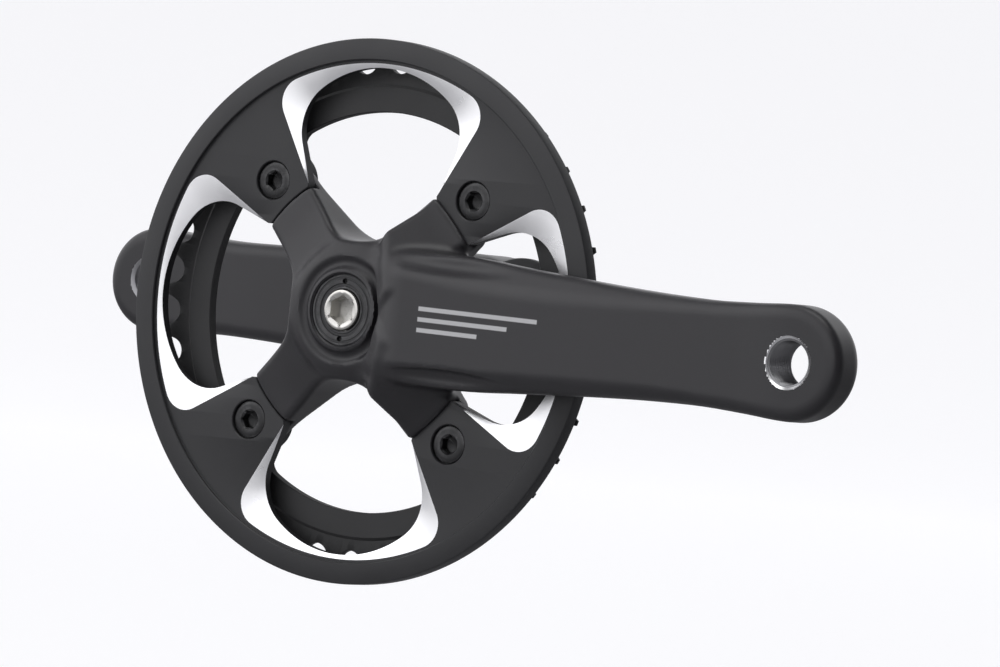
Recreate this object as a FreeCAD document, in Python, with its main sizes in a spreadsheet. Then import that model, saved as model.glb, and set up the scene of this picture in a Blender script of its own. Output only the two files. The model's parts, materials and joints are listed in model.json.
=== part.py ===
"""Bicycle crankset: single chainring with a chain guard, two forged arms and a cartridge bottom bracket.

Millimetres. The origin is the middle of the bottom bracket, on the spindle axis. Y is the spindle
axis with the drive side at -Y, +X runs along the drive crank arm and +Z is up.

Every piece that has a side is drawn once, in a side frame: +Y points outboard, away from the middle
of the bicycle, and a crank arm runs along +X. Its placement then turns it to the drive side (half a
turn about X) or to the left side (half a turn about Y).
"""
import FreeCAD
import Part
import math
import os
import Sketcher

SIZES = {
    # crank arms, along X from the spindle axis; a rise is measured outboard, along Y
    "arm_length": 170.0,
    "eye_radius": 17.0,
    "eye_thickness": 14.0,
    "eye_flare": 13.7,
    "eye_bar_inset": 0.3,
    "pedal_hole_radius": 7.14,
    "root_x": 11.0,
    "root_half_height": 14.0,
    "root_back_rise": 2.5,
    "shoulder_x": 21.0,
    "shoulder_half_height": 20.0,
    "shoulder_rise": 6.8,
    "shoulder_back_rise": 6.5,
    "belly_x": 62.0,
    "belly_half_height": 19.2,
    "belly_back_rise": 20.7,
    "waist_x": 122.0,
    "waist_half_height": 15.8,
    "arm_bevel_near": 8.0,
    "arm_bevel_far": 2.0,
    "arm_bevel_depth": 2.5,
    # hub of each arm
    "hub_wall": 10.0,
    "hub_cup_gap": 2.9,
    "hub_length": 22.5,
    "boss_wall": 2.6,
    "boss_height": 2.5,
    "cap_recess_depth": 7.0,
    # spider, which is forged in one with the drive arm
    "spider_half_width": 9.5,
    "spider_crotch_radius": 18.2,
    "spider_tab_rise": 7.5,
    "spider_tab_thickness": 3.8,
    "guard_spigot_gap": 0.5,
    "spider_step_drop": 6.6,
    "spider_middle_radius": 27.0,
    "spider_middle_drop": 4.4,
    "spider_back_gap": 1.3,
    "bolt_circle_radius": 52.0,
    # chainring
    "tooth_count": 38,
    "chain_pitch": 12.7,
    "roller_radius": 3.97,
    "tooth_height_over_pitch": 3.4,
    "tooth_thickness": 2.2,
    "tooth_gap_half_mouth": 4.9,
    "tooth_shoulder": 1.0,
    "ring_thickness": 3.4,
    "ring_bolt_margin": 9.0,
    "ring_body_width": 8.5,
    "ring_tab_half_width": 9.2,
    # chain guard
    "guard_radius": 82.9,
    "guard_face_thickness": 4.0,
    "guard_rim_height": 1.2,
    "guard_lip_width": 6.5,
    "guard_step_slope": 0.4,
    "guard_bolt_margin": 9.2,
    "petal_margin": 1.0,
    "petal_corner_radius": 7.5,
    "petal_half_angle": 31.5,
    "window_top_margin": 1.3,
    "window_top_radius": 37.0,
    "window_corner_radius": 15.0,
    "window_corner_x": 13.9,
    "window_corner_z": 54.3,
    "window_arm_gap": 3.6,
    "window_foot_drop": 5.8,
    "foot_cut_inset": 3.0,
    "foot_cut_depth": 12.8,
    "bevel_depth": 1.4,
    # chainring bolts and their sleeve nuts
    "bolt_head_radius": 5.7,
    "bolt_head_thickness": 1.3,
    "bolt_shank_radius": 3.95,
    "bolt_key_width": 5.0,
    "bolt_key_depth": 3.0,
    "counterbore_radius": 6.0,
    "counterbore_depth": 1.8,
    "sleeve_nut_radius": 5.0,
    "sleeve_nut_flange_radius": 6.3,
    "sleeve_nut_flange_thickness": 1.2,
    "sleeve_nut_recess_depth": 1.0,
    "sleeve_nut_short": 1.0,
    # spindle
    "spindle_short": 1.0,
    "spindle_radius": 8.5,
    "spindle_shoulder_height": 1.3,
    "spline_lead": 1.0,
    "spline_relief": 0.1,
    "spline_count": 12,
    "spline_notch_radius": 1.0,
    "crank_thread_radius": 4.0,
    "crank_thread_depth": 26.0,
    # crank bolts, washers and extractor caps
    "crank_bolt_length": 20.0,
    "crank_bolt_flange_inset": 1.2,
    "crank_bolt_flange_thickness": 2.0,
    "crank_bolt_nose_radius": 6.15,
    "crank_bolt_height": 7.5,
    "crank_bolt_key_width": 8.0,
    "crank_bolt_key_depth": 5.5,
    "washer_thickness": 1.0,
    "washer_inset": 1.1,
    "cap_overlap": 2.5,
    "cap_set_back": 0.3,
    "cap_gap": 0.4,
    "cap_pin_hole_radius": 1.0,
    "cap_pin_inset": 2.2,
    "cap_pin_hole_depth": 1.5,
    # bottom bracket
    "shell_half_width": 34.0,
    "cup_wall": 1.6,
    "cup_thread_length": 18.0,
    "cup_flange_height": 3.2,
    "cup_flange_thickness": 2.6,
    "cup_lip": 1.6,
    "cup_notch_count": 20,
    "cup_notch_depth": 1.4,
    "cup_notch_floor": 1.0,
    "cup_notch_half_width": 1.1,
    "sleeve_wall": 0.8,
    "sleeve_set_in": 3.0,
    # bearings
    "bearing_inset": 0.5,
    "inner_race_wall": 1.6,
    "race_groove_depth": 0.35,
    "ball_count": 11,
    "ball_radius": 2.0,
    "outer_race_wall": 1.6,
    "cage_thickness": 1.3,
    "cage_rim": 0.5,
    "cage_end_gap": 0.4,
    "seal_thickness": 0.5,
    "seal_inset": 0.1,
    "dust_seal_thickness": 1.5,
    "dust_seal_set_in": 0.4,
    # fits
    "running_clearance": 0.05,
    "fit_clearance": 0.02,
    "part_gap": 0.3,
}


def derive(dim):
    """Levels and radii that follow from the driving sizes, so that the pieces keep fitting each other."""
    # outwards along the spindle, from the middle of the bottom bracket
    dim.cage_width = (dim.ball_radius + dim.cage_rim) * 2
    dim.bearing_width = dim.cage_width + (dim.cage_end_gap + dim.seal_thickness + dim.seal_inset) * 2
    dim.sleeve_half_length = dim.shell_half_width - dim.sleeve_set_in
    dim.bearing_middle = dim.sleeve_half_length - dim.bearing_inset - dim.bearing_width / 2
    dim.hub_inner = dim.shell_half_width + dim.cup_flange_thickness + dim.hub_cup_gap
    dim.hub_outer = dim.hub_inner + dim.hub_length
    dim.boss_face = dim.hub_outer + dim.boss_height
    dim.cap_recess_floor = dim.boss_face - dim.cap_recess_depth
    dim.cap_face = dim.boss_face - dim.cap_set_back
    dim.crank_bolt_face = dim.cap_recess_floor + dim.crank_bolt_height
    dim.spindle_end = dim.cap_recess_floor - dim.spindle_short
    dim.spline_start = dim.hub_inner - dim.spline_lead
    dim.root_back = dim.hub_inner + dim.root_back_rise
    dim.shoulder_back = dim.hub_inner + dim.shoulder_back_rise
    dim.belly_back = dim.hub_inner + dim.belly_back_rise
    dim.shoulder_out = dim.boss_face + dim.shoulder_rise
    dim.eye_out = dim.shoulder_out + dim.eye_flare
    dim.spider_tab_inner = dim.hub_inner + dim.spider_tab_rise
    dim.spider_middle_out = dim.hub_outer - dim.spider_middle_drop
    dim.spider_step_out = dim.hub_outer - dim.spider_step_drop
    # outwards from the spindle's axis, through the bearing to the shell's thread
    dim.spindle_shoulder_radius = dim.spindle_radius + dim.spindle_shoulder_height
    dim.spline_radius = dim.spindle_radius - dim.spline_relief
    dim.inner_race_radius = dim.spindle_radius + dim.inner_race_wall
    dim.ball_circle_radius = dim.inner_race_radius + dim.ball_radius - dim.race_groove_depth
    dim.outer_race_radius = dim.ball_circle_radius + dim.ball_radius - dim.race_groove_depth
    dim.sleeve_radius = dim.outer_race_radius + dim.outer_race_wall + dim.sleeve_wall
    dim.cup_thread_radius = dim.sleeve_radius + dim.cup_wall
    dim.cup_flange_radius = dim.cup_thread_radius + dim.cup_flange_height
    dim.cup_mouth_radius = dim.sleeve_radius - dim.cup_lip
    dim.cup_notch_reach = dim.cup_mouth_radius + dim.cup_notch_depth
    # outwards from the spindle's axis, through the cap to the hub
    dim.cap_radius = dim.spindle_radius + dim.cap_overlap
    dim.washer_radius = dim.cap_radius - dim.washer_inset
    dim.crank_bolt_flange_radius = dim.cap_radius - dim.crank_bolt_flange_inset
    dim.cap_pin_circle_radius = dim.cap_radius - dim.cap_pin_inset
    dim.boss_radius = dim.cap_radius + dim.boss_wall
    dim.hub_radius = dim.spindle_radius + dim.hub_wall
    # about the bolt circle
    dim.guard_bore_radius = dim.bolt_circle_radius - dim.guard_bolt_margin
    dim.spider_step_radius = dim.guard_bore_radius - dim.guard_spigot_gap
    dim.spider_back_radius = dim.guard_bore_radius - dim.spider_back_gap
    dim.window_foot_x = dim.shoulder_half_height + dim.window_arm_gap
    dim.window_foot_z = dim.guard_bore_radius - dim.window_foot_drop
    dim.ring_inner_radius = dim.bolt_circle_radius + dim.ring_bolt_margin
    dim.ring_body_radius = dim.ring_inner_radius + dim.ring_body_width
    # inwards from the guard's rim
    dim.guard_step_radius = dim.guard_radius - dim.guard_lip_width
    dim.petal_radius = dim.guard_step_radius - dim.petal_margin
    dim.window_top = dim.petal_radius - dim.window_top_margin


SPIDER_ARMS = 4
TAB_ROUND = 1.08    # radius of a tab's round end, as a share of the tab's half width
SEAT_SHARE = 0.9    # half width of a roller seat's arc, as a share of its radius
HALF_RIGHT = math.sqrt(0.5)
BEYOND = 3.0        # how far a cut runs past the material it takes away
OVERLAP = 1.0       # the same for the ends of a short hole, and for a shank's hidden end
SKIN = 0.01         # how far a cut's edge stands off a face, so that no film is left


class Size:
    """A number together with the sheet expression that it comes from."""

    def __init__(self, value, text):
        self.value = value
        self.text = text

    def __add__(self, other):
        other = as_size(other)
        return Size(self.value + other.value, "(%s + %s)" % (self.text, other.text))

    def __sub__(self, other):
        other = as_size(other)
        return Size(self.value - other.value, "(%s - %s)" % (self.text, other.text))

    def __mul__(self, other):
        other = as_size(other)
        return Size(self.value * other.value, "(%s * %s)" % (self.text, other.text))

    def __truediv__(self, other):
        other = as_size(other)
        return Size(self.value / other.value, "(%s / %s)" % (self.text, other.text))

    def __radd__(self, other):
        return as_size(other) + self

    def __rsub__(self, other):
        return as_size(other) - self

    def __rmul__(self, other):
        return as_size(other) * self

    def __rtruediv__(self, other):
        return as_size(other) / self

    def __neg__(self):
        return Size(-self.value, "(0 - %s)" % self.text)


def as_size(number):
    if isinstance(number, Size):
        return number
    return Size(float(number), "(%.9g)" % number)


def root(size):
    return Size(math.sqrt(size.value), "sqrt(%s)" % size.text)


def sine(degrees):
    return Size(math.sin(math.radians(degrees.value)), "sin(%s)" % degrees.text)


def cosine(degrees):
    return Size(math.cos(math.radians(degrees.value)), "cos(%s)" % degrees.text)


def arc_sine(size):
    """The angle in plain degrees."""
    return Size(math.degrees(math.asin(size.value)), "(asin(%s) / 1 deg)" % size.text)


class Dimensions:
    """The sheet's cells as Size values, one attribute for each alias."""

    def __init__(self, document):
        sheet = document.addObject("Spreadsheet::Sheet", "Sizes")
        for row, (alias, number) in enumerate(SIZES.items(), start=1):
            sheet.set("A%d" % row, alias)
            sheet.set("B%d" % row, "%g" % number)
            sheet.setAlias("B%d" % row, alias)
            setattr(self, alias, Size(float(number), "Sizes.%s" % alias))
        document.recompute()
        derive(self)


document = FreeCAD.newDocument("crankset")
dim = Dimensions(document)
sub_parts = []


# ---------------------------------------------------------------- helpers

def bind(item, name, size):
    """Set a property and tie it to the sheet."""
    size = as_size(size)
    item.setExpression(name, size.text)


def keep(item, label, side=None):
    """Register a finished sub-part and turn it to its side of the bicycle."""
    item.Label = label
    item.Placement = SIDE_PLACEMENT[side]
    sub_parts.append(item)
    return item


SIDE_PLACEMENT = {
    None: FreeCAD.Placement(),
    "drive": FreeCAD.Placement(FreeCAD.Vector(), FreeCAD.Rotation(FreeCAD.Vector(1, 0, 0), 180)),
    "left": FreeCAD.Placement(FreeCAD.Vector(), FreeCAD.Rotation(FreeCAD.Vector(0, 1, 0), 180)),
}


def new_body(name):
    return document.addObject("PartDesign::Body", name)


def origin_feature(body, role):
    return next(part for part in body.Origin.OriginFeatures if part.Role == role)


def pin(sketch, edge, end, x, y):
    """Fix a point of the sketch at sheet coordinates; a plain zero puts it on the axis."""
    for kind, place, axis in (("DistanceX", x, -2), ("DistanceY", y, -1)):
        if not isinstance(place, Size) and place == 0:
            sketch.addConstraint(Sketcher.Constraint("PointOnObject", edge, end, axis))
            continue
        place = as_size(place)
        index = sketch.addConstraint(Sketcher.Constraint(kind, -1, 1, edge, end, place.value))
        sketch.setExpression("Constraints[%d]" % index, place.text)


def arc_between(first, last, radius, centre_left):
    """The shorter arc from first to last, with its centre to the left or right of that way."""
    chord = last - first
    across = FreeCAD.Vector(-chord.y, chord.x, 0).normalize()
    rise = math.sqrt(max(radius ** 2 - (chord.Length / 2) ** 2, 0))
    centre = (first + last) / 2 + across * (rise if centre_left else -rise)
    begin, finish = (first, last) if centre_left else (last, first)
    angles = [math.atan2(point.y - centre.y, point.x - centre.x) for point in (begin, finish)]
    if angles[1] < angles[0]:
        angles[1] += 2 * math.pi
    return Part.ArcOfCircle(Part.Circle(centre, FreeCAD.Vector(0, 0, 1), radius), *angles)


def outline(body, name, plane, corners, offset=None):
    """A closed sketch. A corner is (x, y), or (x, y, radius, centre_left) if an arc starts there."""
    sketch = body.newObject("Sketcher::SketchObject", name)
    sketch.AttachmentSupport = [(origin_feature(body, plane), "")]
    sketch.MapMode = "FlatFace"
    if offset is not None:
        sketch.setExpression(".AttachmentOffset.Base.z", as_size(offset).text)
    points = [FreeCAD.Vector(as_size(corner[0]).value, as_size(corner[1]).value, 0) for corner in corners]
    ends = []
    for number, corner in enumerate(corners):
        first = points[number]
        last = points[(number + 1) % len(points)]
        if len(corner) == 2:
            sketch.addGeometry(Part.LineSegment(first, last), False)
            ends.append((1, 2))
        else:
            sketch.addGeometry(arc_between(first, last, corner[2].value, corner[3]), False)
            ends.append((1, 2) if corner[3] else (2, 1))
    for number in range(len(corners)):
        before = number - 1 if number else len(corners) - 1
        meeting = ("Coincident", before, ends[before][1], number, ends[number][0])
        sketch.addConstraint(Sketcher.Constraint(*meeting))
    for number, corner in enumerate(corners):
        pin(sketch, number, ends[number][0], corner[0], corner[1])
        if len(corner) > 2:
            index = sketch.addConstraint(Sketcher.Constraint("Radius", number, corner[2].value))
            sketch.setExpression("Constraints[%d]" % index, corner[2].text)
    return sketch


def circles(body, name, plane, rounds, offset=None):
    """A sketch of circles, each (x, y, radius)."""
    sketch = body.newObject("Sketcher::SketchObject", name)
    sketch.AttachmentSupport = [(origin_feature(body, plane), "")]
    sketch.MapMode = "FlatFace"
    if offset is not None:
        sketch.setExpression(".AttachmentOffset.Base.z", as_size(offset).text)
    for number, (x, y, radius) in enumerate(rounds):
        centre = FreeCAD.Vector(as_size(x).value, as_size(y).value, 0)
        circle = Part.Circle(centre, FreeCAD.Vector(0, 0, 1), radius.value)
        sketch.addGeometry(circle, False)
        pin(sketch, number, 3, x, y)
        index = sketch.addConstraint(Sketcher.Constraint("Radius", number, radius.value))
        sketch.setExpression("Constraints[%d]" % index, radius.text)
    return sketch


def turn(body, name, corners, feature="Revolution"):
    """Revolve an outline drawn as (radius, outboard) about the spindle axis; Groove takes it away."""
    sketch = outline(body, name + "_profile", "XY_Plane", corners)
    turned = body.newObject("PartDesign::" + feature, name)
    turned.Profile = sketch
    turned.ReferenceAxis = (sketch, ["V_Axis"])
    turned.Angle = 360
    return turned


def raise_outboard(body, name, sketch, length):
    """Pad a sketch of the XZ plane outboard, along +Y."""
    pad = body.newObject("PartDesign::Pad", name)
    pad.Profile = sketch
    pad.Reversed = True
    bind(pad, "Length", length)
    return pad


def sink_outboard(body, name, sketch, length):
    """Pocket a sketch of the XZ plane outboard, along +Y."""
    pocket = body.newObject("PartDesign::Pocket", name)
    pocket.Profile = sketch
    bind(pocket, "Length", length)
    return pocket


def repeat_round(body, name, feature, count):
    """Repeat a feature evenly about the spindle axis."""
    pattern = body.newObject("PartDesign::PolarPattern", name)
    pattern.Originals = [feature]
    pattern.Axis = (origin_feature(body, "Y_Axis"), [""])
    pattern.Angle = 360
    if isinstance(count, Size):
        pattern.setExpression("Occurrences", count.text)
    else:
        pattern.Occurrences = count
    body.Tip = pattern
    return pattern


def rod(name, radius, start, length, x=0, z=0):
    """A cylinder along Y."""
    cylinder = document.addObject("Part::Cylinder", name)
    bind(cylinder, "Radius", radius)
    bind(cylinder, "Height", length)
    lay_along_y(cylinder, start, x, z)
    return cylinder


def hexagon(name, width, start, length, x=0, z=0):
    """A hexagonal prism along Y, measured across its flats."""
    prism = document.addObject("Part::Prism", name)
    prism.Polygon = 6
    bind(prism, "Circumradius", width / math.sqrt(3))
    bind(prism, "Height", length)
    lay_along_y(prism, start, x, z)
    return prism


def lay_along_y(solid, start, x, z):
    solid.Placement = FreeCAD.Placement(FreeCAD.Vector(), FreeCAD.Rotation(FreeCAD.Vector(1, 0, 0), -90))
    for axis, place in (("x", x), ("y", start), ("z", z)):
        bind(solid, ".Placement.Base." + axis, place)


def join(name, *solids):
    fused = document.addObject("Part::MultiFuse", name)
    fused.Shapes = list(solids)
    return fused


def take_away(name, base, tool):
    cut = document.addObject("Part::Cut", name)
    cut.Base = base
    cut.Tool = tool
    return cut


def copies_round(name, original, count, first_angle):
    """A group of separate solids: copies of one solid, evenly about the spindle axis."""
    document.recompute()
    group = document.addObject("Part::Feature", name)
    copies = []
    for number in range(count):
        copy = original.Shape.copy()
        angle = first_angle + 360.0 * number / count
        copy.rotate(FreeCAD.Vector(), FreeCAD.Vector(0, 1, 0), angle)
        copies.append(copy)
    group.Shape = Part.makeCompound(copies)
    return group


# ---------------------------------------------------------------- bottom bracket

def make_cup(side):
    """Threaded cup: a flange against the shell, a bore for the cartridge and a notched mouth."""
    body = new_body(side + "_cup_body")
    inner_end = dim.shell_half_width - dim.cup_thread_length
    outer_end = dim.shell_half_width + dim.cup_flange_thickness
    bore = dim.sleeve_radius + dim.fit_clearance
    turn(body, "cup", [
        (bore, inner_end),
        (dim.cup_thread_radius, inner_end),
        (dim.cup_thread_radius, dim.shell_half_width),
        (dim.cup_flange_radius, dim.shell_half_width),
        (dim.cup_flange_radius, outer_end),
        (dim.cup_mouth_radius, outer_end),
        (dim.cup_mouth_radius, dim.sleeve_half_length),
        (bore, dim.sleeve_half_length),
    ])
    half = dim.cup_notch_half_width
    sketch = outline(body, "notch_outline", "XZ_Plane", [
        (dim.cup_mouth_radius - OVERLAP, -half),
        (dim.cup_notch_reach, -half),
        (dim.cup_notch_reach, half),
        (dim.cup_mouth_radius - OVERLAP, half),
    ], offset=-(dim.sleeve_half_length + dim.cup_notch_floor))
    length = outer_end - dim.sleeve_half_length + BEYOND
    notch = sink_outboard(body, "notch", sketch, length)
    repeat_round(body, "notches", notch, dim.cup_notch_count)
    keep(body, side + "_cup", side)


def make_cartridge_sleeve():
    body = new_body("sleeve_body")
    inner = dim.sleeve_radius - dim.sleeve_wall
    turn(body, "tube", [
        (inner, -dim.sleeve_half_length),
        (dim.sleeve_radius, -dim.sleeve_half_length),
        (dim.sleeve_radius, dim.sleeve_half_length),
        (inner, dim.sleeve_half_length),
    ])
    keep(body, "cartridge_sleeve")


def race_corners(plain_radius, groove_radius_at):
    """A bearing race: a plain cylinder on one face and a ball groove in the other."""
    near = dim.bearing_middle - dim.bearing_width / 2
    far = dim.bearing_middle + dim.bearing_width / 2
    groove = dim.ball_radius + dim.running_clearance
    reach = dim.ball_circle_radius - groove_radius_at
    half_groove = root(groove * groove - reach * reach)
    low = dim.bearing_middle - half_groove
    high = dim.bearing_middle + half_groove
    ball_outside = groove_radius_at.value < dim.ball_circle_radius.value
    return [
        (plain_radius, near),
        (groove_radius_at, near),
        (groove_radius_at, low, groove, not ball_outside),
        (groove_radius_at, high),
        (groove_radius_at, far),
        (plain_radius, far),
    ]


def make_race(side, which, plain_radius, groove_radius_at):
    body = new_body("%s_%s_race_body" % (side, which))
    turn(body, "race", race_corners(plain_radius, groove_radius_at))
    keep(body, "%s_%s_race" % (side, which), side)


def washer_solid(name, inner, outer, start, thickness):
    """A flat ring about the spindle axis."""
    disc = rod(name + "_disc", outer, start, thickness)
    hole = rod(name + "_hole", inner, start - OVERLAP, thickness + 2 * OVERLAP)
    return take_away(name, disc, hole)


def make_bearing_seals(side):
    """The two rubber shields of one bearing, held by its outer race."""
    inner = dim.inner_race_radius + dim.part_gap
    thickness = dim.seal_thickness
    near = dim.bearing_middle - dim.bearing_width / 2 + dim.seal_inset
    far = dim.bearing_middle + dim.bearing_width / 2 - dim.seal_inset - thickness
    name = side + "_seal_"
    shields = document.addObject("Part::Compound", name + "pair")
    shields.Links = [
        washer_solid(name + "near", inner, dim.outer_race_radius, near, thickness),
        washer_solid(name + "far", inner, dim.outer_race_radius, far, thickness),
    ]
    keep(shields, side + "_bearing_seals", side)


def make_dust_seal(side):
    """The rubber lip in the mouth of a cup, just clear of the spindle."""
    inner = dim.spindle_radius + dim.part_gap
    start = dim.sleeve_half_length + dim.dust_seal_set_in
    ring = washer_solid(side + "_dust_ring", inner, dim.cup_mouth_radius, start, dim.dust_seal_thickness)
    keep(ring, side + "_dust_seal", side)


def ball_centres():
    for number in range(int(dim.ball_count.value)):
        angle = 2 * math.pi * number / dim.ball_count.value
        radius = dim.ball_circle_radius.value
        yield FreeCAD.Vector(radius * math.cos(angle), dim.bearing_middle.value, radius * math.sin(angle))


def make_balls(side):
    balls = document.addObject("Part::Feature", side + "_ball_group")
    balls.Shape = Part.makeCompound([Part.makeSphere(dim.ball_radius.value, at) for at in ball_centres()])
    keep(balls, side + "_balls", side)


def make_cage(side):
    """The ring that spaces the balls, with a round pocket for each."""
    inner = dim.ball_circle_radius - dim.cage_thickness / 2
    outer = dim.ball_circle_radius + dim.cage_thickness / 2
    start = dim.bearing_middle - dim.cage_width / 2
    ring = washer_solid(side + "_cage_ring", inner, outer, start, dim.cage_width)
    pockets = document.addObject("Part::Feature", side + "_cage_pockets")
    radius = dim.ball_radius.value + 2 * dim.running_clearance.value
    drills = []
    for ball in ball_centres():
        outward = FreeCAD.Vector(ball.x, 0, ball.z).normalize()
        start = ball - outward * dim.cage_thickness.value
        drills.append(Part.makeCylinder(radius, 2 * dim.cage_thickness.value, start, outward))
    pockets.Shape = Part.makeCompound(drills)
    keep(take_away(side + "_cage_cut", ring, pockets), side + "_ball_cage", side)


# ---------------------------------------------------------------- spindle and its fastenings

def make_spindle():
    body = new_body("spindle_body")
    shoulder = dim.bearing_middle - dim.bearing_width / 2
    hole_floor = dim.spindle_end - dim.crank_thread_depth
    bore = dim.crank_thread_radius + dim.fit_clearance
    half = [
        (dim.spindle_shoulder_radius, shoulder),
        (dim.spindle_radius, shoulder),
        (dim.spindle_radius, dim.spline_start),
        (dim.spline_radius, dim.spline_start),
        (dim.spline_radius, dim.spindle_end),
        (bore, dim.spindle_end),
        (bore, hole_floor),
        (0, hole_floor),
    ]
    other_half = [(radius, -outboard) for radius, outboard in reversed(half)]
    turn(body, "shaft", half + other_half)
    engaged = dim.spindle_end - dim.hub_inner + BEYOND
    for side, start in (("outer", dim.hub_inner), ("inner", -dim.spindle_end - BEYOND)):
        place = (dim.spline_radius, 0, dim.spline_notch_radius)
        sketch = circles(body, side + "_notch_outline", "XZ_Plane", [place], offset=-start)
        notch = sink_outboard(body, side + "_notch", sketch, engaged)
        repeat_round(body, side + "_notches", notch, dim.spline_count)
    keep(body, "spindle")


def make_crank_bolt(side):
    """Flanged bolt: the nose shows through the cap and takes the key, the shank screws into the spindle."""
    flange_start = dim.cap_recess_floor + dim.washer_thickness
    flange = rod(side + "_bolt_flange", dim.crank_bolt_flange_radius, flange_start,
                 dim.crank_bolt_flange_thickness)
    nose = rod(side + "_bolt_nose", dim.crank_bolt_nose_radius, flange_start,
               dim.crank_bolt_face - flange_start)
    shank_start = flange_start - dim.crank_bolt_length
    shank_length = dim.crank_bolt_length + OVERLAP
    shank = rod(side + "_bolt_shank", dim.crank_thread_radius, shank_start, shank_length)
    key_start = dim.crank_bolt_face - dim.crank_bolt_key_depth
    key_length = dim.crank_bolt_key_depth + BEYOND
    key = hexagon(side + "_bolt_key", dim.crank_bolt_key_width, key_start, key_length)
    blank = join(side + "_bolt_blank", flange, nose, shank)
    keep(take_away(side + "_bolt", blank, key), side + "_crank_bolt", side)


def make_bolt_washer(side):
    inner = dim.crank_thread_radius + dim.part_gap
    start = dim.cap_recess_floor
    ring = washer_solid(side + "_washer", inner, dim.washer_radius, start, dim.washer_thickness)
    keep(ring, side + "_bolt_washer", side)


def make_extractor_cap(side):
    """Threaded ring over the bolt's flange; it pulls the arm off when the bolt is undone."""
    start = dim.cap_recess_floor + dim.washer_thickness + dim.crank_bolt_flange_thickness + dim.cap_gap
    thickness = dim.cap_face - start
    bore = dim.crank_bolt_nose_radius + dim.part_gap
    ring = washer_solid(side + "_cap_ring", bore, dim.cap_radius, start, thickness)
    holes = []
    for number, place in enumerate((dim.cap_pin_circle_radius, -dim.cap_pin_circle_radius)):
        hole_start = dim.cap_face - dim.cap_pin_hole_depth
        hole_length = dim.cap_pin_hole_depth + BEYOND
        name = "%s_pin_hole_%d" % (side, number)
        holes.append(rod(name, dim.cap_pin_hole_radius, hole_start, hole_length, z=place))
    keep(take_away(side + "_cap", ring, join(side + "_pin_holes", *holes)), side + "_extractor_cap", side)


# ---------------------------------------------------------------- arms

def outer_line(x):
    """Outboard face of an arm, a straight line from its shoulder to the pedal eye."""
    slope = (dim.eye_out - dim.shoulder_out) / (dim.arm_length - dim.shoulder_x)
    return dim.shoulder_out + slope * (x - dim.shoulder_x)


def arm_section(body, name, x, half_height, out, back, bevel):
    """One cross-section of an arm, square at the back and bevelled on its outboard edges."""
    return outline(body, name, "YZ_Plane", [
        (back, -half_height),
        (out - dim.arm_bevel_depth, -half_height),
        (out, bevel - half_height),
        (out, half_height - bevel),
        (out - dim.arm_bevel_depth, half_height),
        (back, half_height),
    ], offset=x)


def add_arm(body):
    """The arm itself, lofted through its sections, and the round eye for the pedal."""
    eye_back = dim.eye_out - dim.eye_thickness
    near = dim.arm_bevel_near
    far = dim.arm_bevel_far
    waist_share = (dim.waist_x - dim.belly_x) / (dim.arm_length - dim.belly_x)
    waist_back = dim.belly_back + (eye_back - dim.belly_back) * waist_share
    eye_half = dim.eye_radius - dim.eye_bar_inset
    sections = [
        arm_section(body, "root_section", dim.root_x, dim.root_half_height,
                    dim.hub_outer, dim.root_back, near),
        arm_section(body, "shoulder_section", dim.shoulder_x, dim.shoulder_half_height,
                    dim.shoulder_out, dim.shoulder_back, near),
        arm_section(body, "belly_section", dim.belly_x, dim.belly_half_height,
                    outer_line(dim.belly_x), dim.belly_back, near),
        arm_section(body, "waist_section", dim.waist_x, dim.waist_half_height,
                    outer_line(dim.waist_x), waist_back, (near + far) / 2),
        arm_section(body, "eye_section", dim.arm_length, eye_half, dim.eye_out, eye_back, far),
    ]
    loft = body.newObject("PartDesign::AdditiveLoft", "arm_bar")
    loft.Profile = sections[0]
    loft.Sections = sections[1:]
    loft.Ruled = True
    eye = circles(body, "eye_outline", "XZ_Plane", [(dim.arm_length, 0, dim.eye_radius)], offset=-eye_back)
    raise_outboard(body, "eye", eye, dim.eye_thickness)


def add_hub(body):
    """Round hub with the boss that the cap screws into."""
    turn(body, "hub", [
        (0, dim.hub_inner),
        (dim.hub_radius, dim.hub_inner),
        (dim.hub_radius, dim.hub_outer),
        (dim.boss_radius, dim.boss_face),
        (0, dim.boss_face),
    ])


def cut_hub(body):
    """Cap recess, splined bore with its ribs, and the pedal thread."""
    turn(body, "cap_recess", [
        (0, dim.cap_recess_floor),
        (dim.cap_radius + dim.fit_clearance, dim.cap_recess_floor),
        (dim.cap_radius + dim.fit_clearance, dim.eye_out),
        (0, dim.eye_out),
    ], "Groove")
    turn(body, "spline_bore", [
        (0, dim.hub_inner - BEYOND),
        (dim.spline_radius + dim.fit_clearance, dim.hub_inner - BEYOND),
        (dim.spline_radius + dim.fit_clearance, dim.cap_recess_floor + OVERLAP),
        (0, dim.cap_recess_floor + OVERLAP),
    ], "Groove")
    rib_place = (dim.spline_radius, 0, dim.spline_notch_radius - dim.running_clearance)
    rib_outline = circles(body, "rib_outline", "XZ_Plane", [rib_place], offset=-dim.hub_inner)
    rib = raise_outboard(body, "rib", rib_outline, dim.spindle_end - dim.hub_inner)
    repeat_round(body, "ribs", rib, dim.spline_count)
    eye_back = dim.eye_out - dim.eye_thickness
    hole = circles(body, "pedal_hole_outline", "XZ_Plane",
                   [(dim.arm_length, 0, dim.pedal_hole_radius)], offset=-(eye_back - BEYOND))
    pedal_hole = sink_outboard(body, "pedal_hole", hole, dim.eye_thickness + 2 * BEYOND)
    return pedal_hole


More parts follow.
